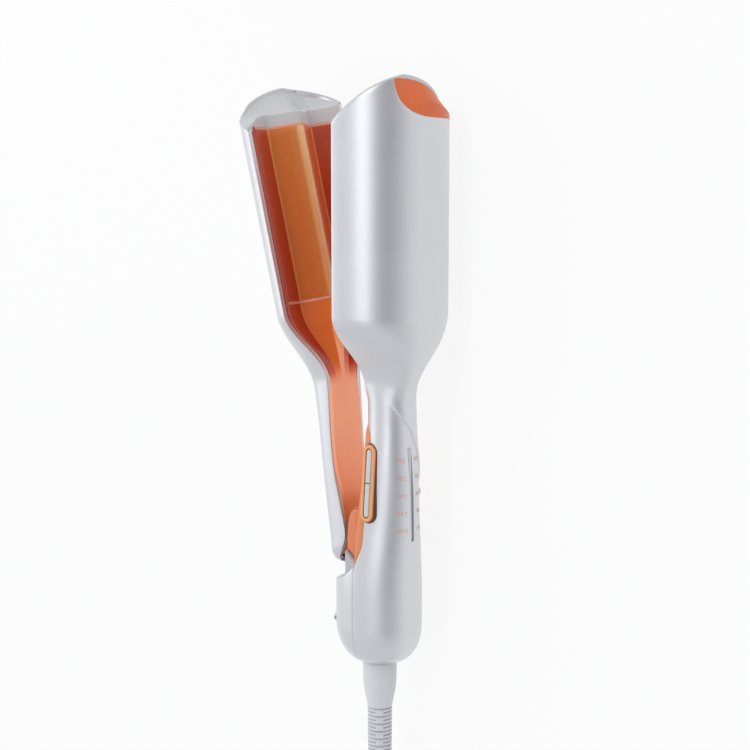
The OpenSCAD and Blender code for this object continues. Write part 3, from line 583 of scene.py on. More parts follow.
def on_table(points, opened=False):
    """Drawn millimetres to metres on the table, with the lever's points turned open on the way."""
    p = np.array(points, float)
    if opened:
        x, y = turned(p[..., 0] - HINGE[0], p[..., 1] - HINGE[1], OPEN_ANGLE)
        p = spots(HINGE[0] + x, HINGE[1] + y, p[..., 2])
    return (p + CENTRE) / 1000


def lattice(rows, columns, closed=False, ring=False):
    """Faces of a grid; closed joins the last column to the first, ring the last row to the first."""
    faces = []
    for i in range(rows if ring else rows - 1):
        low, high = i * columns, (i + 1) % rows * columns
        for j in range(columns if closed else columns - 1):
            after = (j + 1) % columns
            faces.append((low + j, low + after, high + after, high + j))
    return faces


def settle(obj, sharp=35):
    """Apply the modifiers and shade smooth, with crisp edges above that many degrees."""
    bpy.context.view_layer.update()
    graph = bpy.context.evaluated_depsgraph_get()
    mesh = bpy.data.meshes.new_from_object(obj.evaluated_get(graph))
    obj.modifiers.clear()
    obj.data = mesh
    mesh.polygons.foreach_set("use_smooth", [True] * len(mesh.polygons))
    mesh.set_sharp_from_angle(angle=math.radians(sharp))
    return obj


def thicken(obj, wall):
    """Give a skin its wall, inwards."""
    solid = obj.modifiers.new("wall", "SOLIDIFY")
    solid.thickness = wall / 1000
    solid.offset = -1
    solid.use_quality_normals = True


def round_edges(obj, edge, steps=3, angle=40):
    """Round the edges that are sharper than that many degrees."""
    bevel = obj.modifiers.new("edge", "BEVEL")
    bevel.width = edge / 1000
    bevel.segments = steps
    bevel.limit_method = "ANGLE"
    bevel.angle_limit = math.radians(angle)


def make(name, points, faces, finish):
    """A mesh object from points on the table, in metres."""
    mesh = bpy.data.meshes.new(name)
    mesh.from_pydata(np.asarray(points).reshape(-1, 3).tolist(), [], faces)
    mesh.materials.append(finish)
    obj = bpy.data.objects.new(name, mesh)
    bpy.context.scene.collection.objects.link(obj)
    return obj


def closed_outward(obj):
    """Turn the faces of a closed mesh outwards."""
    work = bmesh.new()
    work.from_mesh(obj.data)
    bmesh.ops.remove_doubles(work, verts=work.verts, dist=1e-6)
    bmesh.ops.recalc_face_normals(work, faces=work.faces)
    work.to_mesh(obj.data)
    work.free()
    return obj


def skin(name, grid, finish, opened=False, wall=WALL, edge=0.45, inside=None):
    """A shell from a grid of drawn points that goes round the point inside, or round its own middle."""
    grid = np.asarray(grid, float)
    rows, columns = grid.shape[:2]
    obj = make(name, on_table(grid, opened), lattice(rows, columns), finish)
    a = grid[1:, 1:] - grid[:-1, :-1]
    b = grid[1:, :-1] - grid[:-1, 1:]
    normals = np.cross(a, b)
    middles = (grid[1:, 1:] + grid[:-1, :-1]) / 2
    core = middles.mean(1, keepdims=True) if inside is None else np.array(inside, float)
    if (normals * (middles - core)).sum() < 0:
        obj.data.flip_normals()
    if wall:
        thicken(obj, wall)
    if edge:
        round_edges(obj, edge)
    return obj


def tube(name, grid, finish, opened=False, ring=False):
    """A closed surface from rings of points, capped at both ends or closed to a ring itself."""
    grid = np.asarray(grid, float)
    rows, columns = grid.shape[:2]
    faces = lattice(rows, columns, closed=True, ring=ring)
    if not ring:
        faces += [tuple(range(columns)), tuple(range((rows - 1) * columns, rows * columns))]
    return closed_outward(make(name, on_table(grid, opened), faces, finish))


def store_shade_depth(obj, depths):
    """Keep with each point its painted shade, how deep it lies in a hollow, for the finish to read."""
    store = obj.data.attributes.new("hollow", "FLOAT", "POINT")
    store.data.foreach_set("value", np.asarray(depths).ravel().astype(np.float32))


def dress(obj, body, slot, *stands_for):
    """Say what the piece moves with and which construction nodes it stands for; slot, the finish it would
    take, is not used.
    """
    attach(obj, body)
    if stands_for:
        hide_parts(*stands_for)
    print(f"{obj.name}: {len(obj.data.vertices) if obj.type == 'MESH' else 'curve'} points, rides on {body}")
    return obj


# %% [markdown]
# ## Cord, coil and plug
# A mains lead on a hair tool is about 1.8 m of 6 mm cord. It leaves a swivelling strain
# relief, sinks to the table under its own weight and is put away in a coil of three
# layers, held by a rubber tie, with the plug lying beside it. One curve carries the
# whole length, so that it can be measured.

# %% The route of the cord
RELIEF_L = 76
CORD_R = 3
COIL_R = 34
COIL_PITCH = 6
COIL_RISE = 6
PLUG_Z = 7
COIL_Y = -108
LAYER_TOP = CORD_R + 2 * COIL_RISE
PER_TURN = 28
relief_end = np.array([CENTRE[0], CENTRE[1] - RELIEF_L, 0])
ROUTE = [(0, 0, 34.5), (0, -10, 34.5), (0, -20, 34.1), (0, -30, 32.8), (0, -40, 30), (0, -50, 25.3)]
ROUTE += [(0, -60, 19.2), (0, -70, 12.8), (0, -80, 7.6), (0, -90, 4.4), (0, -97, 3.2)]
coil_turn = COIL_R + 5
coil_centre = relief_end + np.array([coil_turn, COIL_Y, 0])
plug_side = COIL_R + 16
# one turn for each pair: column from the inside out, layer from the table up
TURNS = [(2, 0), (1, 0), (0, 0), (0, 1), (1, 1), (2, 1), (1, 2), (2, 2)]
LAST_TURN = 0.236
TIE_RISE = 1
LEAVE_TURN = math.radians(-95)


def coil_point(t):
    """A point of the coil after t turns, counted from the side where the cord arrives."""
    k = min(int(t), len(TURNS) - 1)
    into = ease(t - k, 0.8, 1) if k < len(TURNS) - 1 else 0
    after = TURNS[min(k + 1, len(TURNS) - 1)]
    column = TURNS[k][0] + (after[0] - TURNS[k][0]) * into
    layer = TURNS[k][1] + (after[1] - TURNS[k][1]) * into
    r = COIL_R + (column - 1) * COIL_PITCH - (COIL_R + COIL_PITCH - coil_turn) * (1 - ease(t, 0, 0.15))
    a = math.pi * (1 + 2 * t)
    lifted = TIE_RISE * (1 - ease(abs((t + 0.5) % 1 - 0.25), 0.02, 0.09))
    return coil_centre + np.array([r * math.cos(a), r * math.sin(a), CORD_R + layer * COIL_RISE + lifted])


def leave_point(s):
    """A point of the last curve, from the top of the coil down to the plug, for s from 0 to 1."""
    a = LEAVE_TURN * (1 - s)
    r = COIL_R + COIL_PITCH + (plug_side - COIL_R - COIL_PITCH) * ease(s, 0, 0.72)
    z = LAYER_TOP - (LAYER_TOP - PLUG_Z) * ease(s, 0.08, 0.9)
    return coil_centre + np.array([r * math.cos(a), r * math.sin(a), z])


full_turns = len(TURNS) - 1 + LAST_TURN
coil_points = [coil_point(t) for t in np.arange(1 / PER_TURN, full_turns, 1 / PER_TURN)]
leave_points = [leave_point(s) for s in np.linspace(0, 1, 12)]
plug_entry = coil_centre + np.array([plug_side, 20, PLUG_Z])
route_points = [relief_end + np.array(p) for p in ROUTE]
cord_points = np.array(route_points + coil_points + leave_points + [plug_entry]) / 1000

# %% The cord as one smooth curve
cord_line = bpy.data.curves.new("mains_cord", "CURVE")
cord_line.dimensions = "3D"
cord_line.bevel_depth = CORD_R / 1000
cord_line.bevel_resolution = 4
cord_line.use_fill_caps = True
strand = cord_line.splines.new("POLY")
strand.points.add(len(cord_points) - 1)
for point, place in zip(strand.points, cord_points):
    point.co = (*place, 1)
cord_line.materials.append(CORD_JACKET)
mains_cord = bpy.data.objects.new("mains_cord", cord_line)
bpy.context.scene.collection.objects.link(mains_cord)
dress(mains_cord, "root", "cord_white", "cord_tube", "cord_coil")

# %% The tie round the coil
TIE_W = 8
TIE_T = 1
tie_corners = []
for column, layer in ((-1, 0), (1, 0), (1, 1), (0, 2), (-1, 1)):
    tie_corners.append((COIL_R + column * COIL_PITCH, TIE_RISE + CORD_R + layer * COIL_RISE))


def tie_outline(gap, count=48):
    """A tight loop round the strands at that distance from their middles."""
    loop = []
    for n in np.array(circle(1, count)):
        loop.append(max(tie_corners, key=lambda c: float(np.dot(c, n))) + gap * n)
    return loop


strap = []
for out, side in ((0, -1), (TIE_T, -1), (TIE_T, 1), (0, 1)):
    strap.append([(side * TIE_W / 2, y, z) for y, z in tie_outline(CORD_R + out)])
strap = np.array(strap) + coil_centre - CENTRE
coil_tie = tube("coil_tie", strap, RUBBER, ring=True)
round_edges(coil_tie, 0.25, 2)
dress(settle(coil_tie), "root", "black_rubber", "cord_tie")

# %% [markdown]
# ### The plug
# A flat two-pole plug is a soft moulding: a slim sleeve that swells into a flat
# grip. A loft of rounded rectangles gives that in one skin, and shallow grooves across
# the flats are for the fingers.

# %% A lofted plug with finger grooves
SLEEVE_Y = 16
BODY_Y = 46
PLUG_L = 36
PLUG_END = BODY_Y + PLUG_L
SLEEVE_R = 3.4
SLEEVE_GROOVES = [SLEEVE_Y + 4 + 4 * k for k in range(6)]
FINGER_GROOVES = [BODY_Y + 15 + 3.6 * k for k in range(4)]


def grooves(y, places, depth, width):
    """How deep the grooves at those places are at y."""
    return sum(depth * math.exp(-(((y - at) / width) ** 2)) for at in places)


def power(value, exponent):
    """A power that keeps the sign."""
    return math.copysign(abs(value) ** exponent, value)


def plug_ring(y):
    """One rounded section of the plug, y counted from the middle of the coil."""
    swell = ease(y, BODY_Y - 5, BODY_Y + 13)
    slim = ease(y, SLEEVE_Y, BODY_Y - 6)
    end = ease(y, PLUG_END - 2.4, PLUG_END + 0.8)
    rib = grooves(y, SLEEVE_GROOVES, 0.5, 0.7)
    half_w = SLEEVE_R + 1.4 * slim + 12.8 * swell - 1.4 * end - rib
    half_t = SLEEVE_R + 0.8 * slim + 2.4 * swell - 1.2 * end - rib
    half_t -= grooves(y, FINGER_GROOVES, 0.35, 0.9)
    squareness = 1 - 0.68 * swell
    ring = []
    for k in range(40):
        a = math.tau * (k + 0.5) / 40
        ring.append((half_w * power(math.cos(a), squareness), y, half_t * power(math.sin(a), squareness)))
    return ring


stations = np.concatenate(
    [
        np.linspace(SLEEVE_Y, BODY_Y - 4, 56),
        np.linspace(BODY_Y - 3, PLUG_END - 3, 70),
        np.linspace(PLUG_END - 2.4, PLUG_END, 8),
    ]
)
plug_place = coil_centre + np.array([plug_side, 0, PLUG_Z]) - CENTRE
plug = tube("plug", np.array([plug_ring(y) for y in stations]) + plug_place, CORD_JACKET)
dress(settle(plug), "root", "cord_white", "plug_body")

# %% [markdown]
# ### The strain relief
# It is a soft sleeve that swivels in the end of the handle: a smooth collar, a taper and
# a long slim part cut by slits, every second one split in halves, so that it can bend
# and still holds the cord. One turned surface with the slits pressed in does this.

# %% The turned strain relief with its slits
RELIEF_END_R = 6.2
SLIT_Y0 = 27
SLIT_PITCH = 4.2
SLIT_DEPTH = 1.5
SLIT_HALF = 0.5
RELIEF_SIDES = 72


def relief_radius(d):
    """Radius at a distance d below the handle."""
    collar = COLLAR_R - 0.7 * (1 - ease(d, 0, 1.2)) - 0.25 * ease(d, 8, 16)
    taper = ease(d, 13, 29)
    slim = RELIEF_END_R + 0.35 - 0.35 * ease(d, 29, RELIEF_L)
    end = 0.9 * ease(d, RELIEF_L - 1.6, RELIEF_L)
    return collar + (slim - collar) * taper - end


def slit(d, turn):
    """Depth of the slits: whole rings, and between them halves with a web on two sides."""
    whole = (d - SLIT_Y0) / SLIT_PITCH
    depth = 0.0
    for shift in (0, 0.5):
        k = round(whole - shift)
        at = SLIT_Y0 + (k + shift) * SLIT_PITCH
        if k < 0 or at > RELIEF_L - 4:
            continue
        web = 1.0 if shift == 0 else float(1 - ease(abs(math.cos(turn)), 0.90, 0.98))
        near = 1 - ease(abs(d - at), SLIT_HALF - 0.18, SLIT_HALF + 0.1)
        depth = max(depth, SLIT_DEPTH * web * float(near))
    return depth


relief_rows = np.concatenate(
    [
        [-1.2, -0.6],
        np.linspace(0, 26, 40),
        np.arange(26.2, RELIEF_L - 3, 0.175),
        np.linspace(RELIEF_L - 2.9, RELIEF_L, 10),
    ]
)
relief_rings = []
for d in relief_rows:
    ring = []
    for k in range(RELIEF_SIDES):
        a = math.tau * k / RELIEF_SIDES
        r = relief_radius(d) - slit(d, a - VIEW_TURN)
        ring.append((r * math.cos(a), -d, r * math.sin(a)))
    relief_rings.append(ring)
ribbed_relief = tube("ribbed_strain_relief", relief_rings, CORD_JACKET)
dress(settle(ribbed_relief, 50), "cord_swivel", "cord_white", "strain_relief")

# %% [markdown]
# ## The front shell
# The main arm's outer shell is one moulding from the collar of the cord to the tips. Its
# section is a round arch that goes from a fat handle over a slim neck to the wide head.
# A soft step winds round the neck, sharp on its lower side and fading upwards, so one
# row of the grid is laid along it. The last rows stop where the orange leaf begins.

# %% The step round the neck
STEP_ROW = 128
STEP_RISE = 0.75


def step_y(u):
    """Height of the step at an angle round the neck."""
    turn = np.minimum(u, 66) - 6
    return 130 + turn * np.where(turn > 0, 0.31, 0.41)


def step_rise(u, v):
    """How far the shell stands out above the step."""
    strength = (1 - ease(u, 10, 66)) * ease(u, -96, -60)
    foot = ease(v, STEP_ROW - 1.5, STEP_ROW + 0.6)
    return STEP_RISE * strength * foot * (1 - ease(v, STEP_ROW + 1, STEP_ROW + 30))


def follow_step(u, v):
    """Slide the rows near the neck so that one of them runs along the step."""
    near = ease(v, 40, 124) * (1 - ease(v, 132, 185))
    return v + (step_y(u) - STEP_ROW) * near


# %% Rows, columns and points of the front shell
HEAD_Y = 250
CAP_BAND = 1.0
DOME_ROWS = [0, 0.5, 1.2, 2.2, 3.5, 5, 7, 9, 11.5, 14, 17]
shell_rows = np.concatenate(
    [
        DOME_ROWS,
        np.arange(DOME_H, 124, 2.0),
        np.arange(124, 127, 0.5),
        np.arange(127, 129.2, 0.2),
        np.arange(129.5, 134, 0.75),
        np.arange(134, HEAD_Y, 2.0),
    ]
)
shell_sweep = np.concatenate(
    [
        np.linspace(-1, 0.2, 54),
        np.linspace(0.21, 0.42, 20),
        np.linspace(0.435, 1, 26),
    ]
)
HEAD_ROWS = 22


def rim_angle(y):
    """The angle round the arch at which it meets its rim."""
    share = (rim_x(y) - main_mid(y)) / (main_front(y) - main_mid(y))
    return np.degrees(np.arccos(np.clip(share, -0.95, 1)))


def front_point(y, u, inset=0.0):
    """A point of the arch at y and angle u, that far inside its face."""
    a = np.radians(u)
    mid = main_mid(y)
    reach = main_front(y) - mid - inset
    return spots(mid + reach * np.cos(a), y, (main_half(y) - inset) * np.sin(a))


def shell_top(u, side):
    """The upper edge of a shell: it leaves the leaf of the insert and the band of the cap free."""
    return ARM_L - fall(u, side) - np.maximum(leaf(u, side) + 0.12, CAP_BAND)


front_grid = []
for v in shell_rows:
    u = rim_angle(v) * shell_sweep
    y = follow_step(u, v)
    u = rim_angle(y) * shell_sweep
    front_grid.append(front_point(y, u, -step_rise(u, v)))
for t in np.linspace(0, 1, HEAD_ROWS):
    u = rim_angle(ARM_L) * shell_sweep
    front_grid.append(front_point(HEAD_Y + (shell_top(u, 1) - HEAD_Y) * t, u))
front_shell = settle(skin("front_shell", front_grid, SILVER, edge=0))
print("front shell", len(front_shell.data.vertices), "points")

# %% [markdown]
# ### Slot and oval opening
# The lights and the keys sit in openings of the shell. They are cut with a Boolean after
# the wall has been made, so the cut shows the real thickness of the moulding.

# %% Cut the openings of the light slot and the keys
LIGHT_L = 50
LIGHT_W = 2.2
LIGHT_Y = 93.5
LIGHT_Z = 0.2
LIGHT_TILT = math.radians(1.5)
BEZEL_L = 41
BEZEL_W = 9
BEZEL_X = 6.8
BEZEL_Y = 99
BEZEL_Z = float(main_half(BEZEL_Y)) - 0.9
BEZEL_TILT = math.radians(-6.5)
BEZEL_TURN = math.radians(2.5)
KEY_W = 3.5
KEY_GAP = 0.4


def tilted(points, place, tilt):
    """Turn local points about X and move them to their place."""
    p = np.asarray(points, float)
    y, z = turned(p[..., 1], p[..., 2], tilt)
    return spots(p[..., 0], y, z) + np.asarray(place, float)


def oval(length, width, count=40):
    """A stadium outline in its own plane, as across and along."""
    r = width / 2
    points = []
    for k in range(count):
        a = math.tau * (k + 0.5) / count
        points.append((r * math.cos(a), r * math.sin(a) + math.copysign(length / 2 - r, math.sin(a))))
    return points


def in_bezel(outline, height):
    """An outline at that height over the shell, set where the bezel sits."""
    p = np.asarray(outline, float)
    x, y = turned(p[:, 0], p[:, 1], BEZEL_TURN)
    return tilted(spots(x, y, height), (BEZEL_X, BEZEL_Y, BEZEL_Z), BEZEL_TILT)


def in_slot(outline, height):
    """An outline at that height over the shell, set where the row of lights sits."""
    points = [(height, y, x) for x, y in outline]
    return tilted(points, (HANDLE_FRONT - 1.6, LIGHT_Y, LIGHT_Z), LIGHT_TILT)


def key_cutter():
    """A closed oval a little larger than the bezel."""
    hole = oval(BEZEL_L + 0.9, BEZEL_W + 0.9)
    return tube("key_cutter", [in_bezel(hole, z) for z in (-7, 6)], SILVER)


def cut(obj, cutter):
    """Cut with a closed mesh, which is then removed."""
    knife = obj.modifiers.new("cut", "BOOLEAN")
    knife.operation = "DIFFERENCE"
    knife.solver = "EXACT"
    knife.object = cutter
    settle(obj)
    bpy.data.objects.remove(cutter)


cut(front_shell, key_cutter())
slot = oval(LIGHT_L, LIGHT_W + 0.2)
cut(front_shell, tube("slot_cutter", [in_slot(slot, z) for z in (-5, 6)], SILVER))
round_edges(front_shell, 0.4, 2, 50)
dress(settle(front_shell, 40), "root", "silver_paint", "handle_front_shell")

# %% The milky window in its slot
window_rings = []
for height, shrink in ((-1.4, 0.3), (0.2, 0.3), (0.5, 0.45), (0.68, 0.9)):
    window_rings.append(in_slot(oval(LIGHT_L - shrink, LIGHT_W - shrink + 0.1), height))
light_window = tube("light_window", window_rings, WINDOW)
dress(settle(light_window), "root", "light_window", "light_bar")

# %% [markdown]
# ### The scale beside the slot
# Five temperatures stand beside the slot, in degrees Celsius on one side and in degrees
# Fahrenheit on the other. They are set as text, turned into a mesh and wrapped onto
# the round of the shell, a few hundredths of a millimetre proud like thick ink.

# %% Numbers wrapped onto the shell
TEXT_H = 3.2
SCALE = [(210, 410), (190, 370), (170, 340), (150, 300), (130, 270)]
SCALE_TOP = 111.6
SCALE_PITCH = 9.3
INK = 0.03
ROUND_R = 23
SLANT = 0.11


def wrapped_text(name, words, y, u, finish, align):
    """Flat letters wrapped round the shell at y and angle u."""
    letters = bpy.data.curves.new(name, "FONT")
    letters.body = words
    letters.size = 1
    letters.space_character = 1.08
    letters.align_x = align
    letters.resolution_u = 2
    flat = bpy.data.objects.new(name + "_flat", letters)
    bpy.context.scene.collection.objects.link(flat)
    bpy.context.view_layer.update()
    graph = bpy.context.evaluated_depsgraph_get()
    mesh = bpy.data.meshes.new_from_object(flat.evaluated_get(graph))
    bpy.data.objects.remove(flat)
    work = bmesh.new()
    work.from_mesh(mesh)
    bmesh.ops.subdivide_edges(work, edges=[e for e in work.edges if e.calc_length() > 0.3], cuts=1)
    bmesh.ops.triangulate(work, faces=work.faces)
    for vertex in work.verts:
        across, up = vertex.co.x * TEXT_H, vertex.co.y * TEXT_H
        turn = u - math.degrees(across / ROUND_R)
        vertex.co = Vector(on_table(front_point(y + up - SLANT * across, turn, -INK)))
    work.to_mesh(mesh)
    work.free()
    mesh.materials.clear()
    mesh.materials.append(finish)
    obj = bpy.data.objects.new(name, mesh)
    bpy.context.scene.collection.objects.link(obj)
    return obj


for k, (celsius, fahrenheit) in enumerate(SCALE):
    y = SCALE_TOP - k * SCALE_PITCH
    ink = SALMON_INK if k in (0, 4) else MUTED_INK
    left = wrapped_text(f"scale_{celsius}", f"{celsius}°C", y - 1.1, 15.5 - 1.75 * k, SALMON_INK, "RIGHT")
    right = wrapped_text(f"scale_{fahrenheit}", f"{fahrenheit}°F", y - 0.3, -8.5 - 1.3 * k, ink, "LEFT")
    dress(left, "root", "silver_paint")
    dress(right, "root", "silver_paint")

# %% [markdown]
# ## The back of the handle
# Behind the parting plane the handle is closed by a short cover, cut off below the lever
# by a flowing edge. Its slot for the power slider and the holes for its two screws are
# on its back.

# %% The back cover of the handle
BACK_TOP = 41.5
BACK_RISE = 12
SLIDER_Y = 28
SLIDER_TRAVEL = 3
KNOB_L = 7
KNOB_W = 4.2
SCREW_Y = 20
SCREW_Z = 9
SCREW_HOLE_R = 3
SEAM_X = 0.3
back_grid = []
a = np.radians(np.linspace(-90, 90, 61))
for v in np.concatenate([DOME_ROWS, np.linspace(DOME_H, BACK_TOP, 16)]):
    y = v + BACK_RISE * ease(v, 26, BACK_TOP) * (1 - np.cos(a)) ** 2
    x = SEAM_X - (domed(HANDLE_BACK, y) + SEAM_X) * np.cos(a)
    back_grid.append(spots(x, y, main_half(y) * np.sin(a)))
back_cover = skin("back_cover", back_grid, SILVER, edge=0)
settle(back_cover)


def cut_back(outline, y, z, depths):
    """Cut the back cover through an outline, given as up and across, that lies round y and z."""
    rings = [[(depth - HANDLE_BACK, y + up, z + across) for up, across in outline] for depth in depths]
    cut(back_cover, tube("back_cutter", rings, SILVER))


slider_slot = [(up, across) for across, up in oval(KNOB_L + SLIDER_TRAVEL + 0.9, KNOB_W + 0.7)]
cut_back(slider_slot, SLIDER_Y + SLIDER_TRAVEL / 2, 0, (-3, 5))
for side in (-1, 1):
    cut_back(circle(SCREW_HOLE_R), SCREW_Y, side * SCREW_Z, (-2, 6))
round_edges(back_cover, 0.4, 2, 50)
dress(settle(back_cover, 40), "root", "silver_paint", "handle_back_cover")

# %% The power slider with its grip ridges
knob_rings = []
for y in np.linspace(-KNOB_L / 2, KNOB_L / 2, 57):
    end = 1 - ease(abs(y), KNOB_L / 2 - 0.9, KNOB_L / 2 + 0.2)
    ridge = 0.25 * (0.5 + 0.5 * math.cos(math.tau * y / 1.1)) * (1 - ease(abs(y), 2.2, 2.8))
    out = 1.2 * float(end) + ridge + 0.3
    half = KNOB_W / 2 - 0.5 * (1 - float(end))
    right = [(out, half - 0.5), (out - 0.12, half - 0.18), (out - 0.5, half), (-5, half)]
    section = [(rise, -across) for rise, across in right] + right[::-1]
    knob_rings.append([(-HANDLE_BACK - rise, SLIDER_Y + y, across) for rise, across in section])
power_knob = tube("power_knob", knob_rings, SILVER)
round_edges(power_knob, 0.15, 2)
dress(settle(power_knob, 50), "power_slider", "silver_paint", "power_slider")

# %% [markdown]
# ### The grey plate and its two pillars
# Below the lever a light grey plate closes the back half of the handle. On each side
# of it a short pillar stands up and meets the slanting end of the hinge cheek.

# %% The grey plate
GAP_ROOM = WALL + 0.35
plate_rows = []
u = np.radians(np.linspace(-88, 88, 61))
for t in (0, 0.04, 0.1, 0.3, 0.55, 0.8, 1):
    half = (float(main_half(BACK_TOP)) - GAP_ROOM) * (1 - t)
    x = -(HANDLE_BACK - GAP_ROOM) * np.cos(u) * (1 - t) + 2.2 * t
    crown = BACK_TOP - 0.6 + 0.5 * math.sin(t * math.pi / 2)
    plate_rows.append(spots(x, crown, half * np.sin(u)))
gap_plate = skin("gap_plate", plate_rows, GAP_GREY, wall=1.8, edge=0.3, inside=(-6, 0, 0))
dress(settle(gap_plate), "root", "gap_grey", "gap_cover")

# %% The two pillars
CHEEK_IN = 9.6
CHEEK_HALF = 15.4
CHEEK_X = -9.6


def cheek_bottom(x):
    """Lower edge of a cheek: level at the parting plane and slanting up outwards."""
    return 55.3 + 0.7 * max(0.0, -1.4 - x)


for side, name in ((1, "upper_pillar"), (-1, "lower_pillar")):
    rings = []
    for z, pull in ((12.9, 0.6), (13.5, 0), (15.4, 0), (16.4, 0.25), (17.0, 1.0)):
        outer, inner = CHEEK_X + pull, 0.2 - pull
        foot = [(x, BACK_TOP - 0.8, side * z) for x in (inner, outer)]
        head = [(x, cheek_bottom(x) - 0.3 - pull, side * z) for x in np.linspace(outer, inner, 9)]
        rings.append(foot + head)
    pillar = tube(name, rings, GAP_GREY)
    round_edges(pillar, 0.4, 2, 40)
    dress(settle(pillar, 40), "root", "gap_grey")


# %% [markdown]
# ## The orange mouldings
# A moulding closes each arm. On the neck it is flat, and towards the head it grows into
# two hollows beside a rounded ridge, which is the wave that presses the hair. The same
# moulding frames the plate, so its grid simply leaves out the faces where the plate sits.
# Each point stores how deep it lies in a hollow, and the finish paints that as painted
# shade: deeper points are darker red, and the fold lines and the ridge at the neck are
# painted lighter as a painted highlight.

# %% Grid of an inner moulding
COVER_FADE = 147
FLARE_Y = 146
NECK_CROWN = 1.4


def flare(y):
    """0 on the flat neck and 1 where the wave has its full depth."""
    return ease(y, FLARE_Y, PLATE_Y0 - 2)


def cover_rows(y0, y1):
    """Rows along the arm, close together where the hollows begin."""
    parts = [np.arange(y0, 140, 3.0), np.arange(140, 200, 1.5), np.arange(200, y1 - 1, 4.0), [y1]]
    rows = np.unique(np.concatenate(parts + [[PLATE_Y0 - 0.35]]))
    return rows[(rows >= y0) & (rows <= y1)]


def mirrored(*half):
    """Columns on both sides of the middle, from stretches on one side of it."""
    half = np.concatenate(half)
    return np.concatenate([-half[:0:-1], half])


VALLEY = VALLEY_Z / LIP_HALF
EDGE = PLATE_HALF / LIP_HALF
cover_columns = mirrored(
    np.linspace(0, VALLEY - 0.03, 20),
    [VALLEY - 0.01, VALLEY, VALLEY + 0.01],
    np.linspace(VALLEY + 0.03, EDGE - 0.02, 14),
    [EDGE, EDGE + 0.01, EDGE + 0.03, 1],
)
from_middle = np.abs(cover_columns)
print("columns of a moulding:", len(cover_columns))

# %% Painted shade from the depth of the hollows, and crown of the neck
def painted_shade_depths(y, side):
    """Painted shade for each point of a row: 0 on an open face and 1 on the outer slopes, lower on the fold
    lines and on the ridge near the neck as a painted highlight, and raised at the lever's foot.
    """
    steep = ease(from_middle, VALLEY - 0.008, VALLEY + 0.02)
    inner = 0.36 + 0.10 * ease(from_middle, 0.0, 0.2)
    # the fold line is painted lighter, a painted highlight
    line = 1 - ease(np.abs(from_middle - VALLEY), 0.002, 0.011)
    # the ridge stays light where it runs into the neck, a painted highlight
    crest = np.where(from_middle < 0.12, float(ease(y, 165, 185)), 1)
    depths = inner + (1 - inner) * steep - 0.4 * line
    depths = depths * float(ease(y, COVER_FADE, COVER_FADE + 14)) * crest
    if side > 0:
        return depths
    # on the lever, painted shade grows towards the foot by the hinge
    return np.maximum(depths, 0.26 * float(1 - ease(y, 68, 98)) + 0.1 * float(1 - ease(y, 88, 132)))


def neck_crown(y, side):
    """How far the lever's moulding bulges at its neck; the main arm's is flat."""
    if side > 0:
        return 0
    bulge = NECK_CROWN * float(ease(y, 84, 100) * (1 - ease(y, 138, 160)))
    return bulge * (1 - ease(from_middle, 0.86, 1.02))


# %% Neck, hollows and plate frame in one skin
def moulding(name, side, base, half, y0, plate_y1, body, *stands_for):
    """The inner moulding of an arm; side is 1 on the main arm and -1 on the lever."""
    rows = cover_rows(y0, plate_y1 + 2)
    grid = []
    for y in rows:
        x = base(y) + float(flare(y)) * wave_full(cover_columns * LIP_HALF) + neck_crown(y, side)
        grid.append(spots(x, y, half(y) * cover_columns))
    columns = len(cover_columns)
    faces = []
    for i, y in enumerate((rows[:-1] + rows[1:]) / 2):
        for j, share in enumerate((cover_columns[:-1] + cover_columns[1:]) / 2):
            if PLATE_Y0 - 0.4 < y < plate_y1 + 0.35 and abs(share) < EDGE + 0.008:
                continue
            low, high = i * columns + j, (i + 1) * columns + j
            faces.append((low, low + 1, high + 1, high))
    obj = make(name, on_table(grid, side < 0), faces, NECK_ORANGE)
    store_shade_depth(obj, [painted_shade_depths(y, side) for y in rows])
    if obj.data.polygons[0].normal.x * side > 0:
        obj.data.flip_normals()
    thicken(obj, 1.8)
    round_edges(obj, 0.3, 2, 60)
    return dress(settle(obj, 50), body, "orange_gloss", *stands_for)


# %% The two inner mouldings
def main_cover_x(y):
    """The moulding of the main arm lies at the parting plane."""
    return HALF_GAP + 0.25 * ease(y, 118, 124)


def main_cover_half(y):
    """It fills the hollow shell of the main arm at the parting plane."""
    mid = main_mid(y)
    share = (HALF_GAP - mid) / (main_front(y) - mid - WALL)
    return (main_half(y) - WALL) * np.sqrt(1 - np.clip(share, -0.95, 0.95) ** 2) - 0.6


def lever_cover_x(y):
    """The moulding of the lever lies just inside its rim, and deeper at the foot."""
    return lever_rim(y) - 0.3 - 2.2 * (1 - ease(y, 80, 90))


def lever_cover_half(y):
    """It fits the lever's shell, and reaches over the rim of the shell at the neck."""
    return lever_half(y) - WALL - 0.55 + 2.0 * ease(y, 90, 104) * (1 - ease(y, 136, 158))


moulding("main_cover", 1, main_cover_x, main_cover_half, 118, PLATE_Y1, "root", "main_inner_cover")
moulding("lever_cover", -1, lever_cover_x, lever_cover_half, 58, LEVER_PLATE_Y1, "lever", "lever_inner_cover")

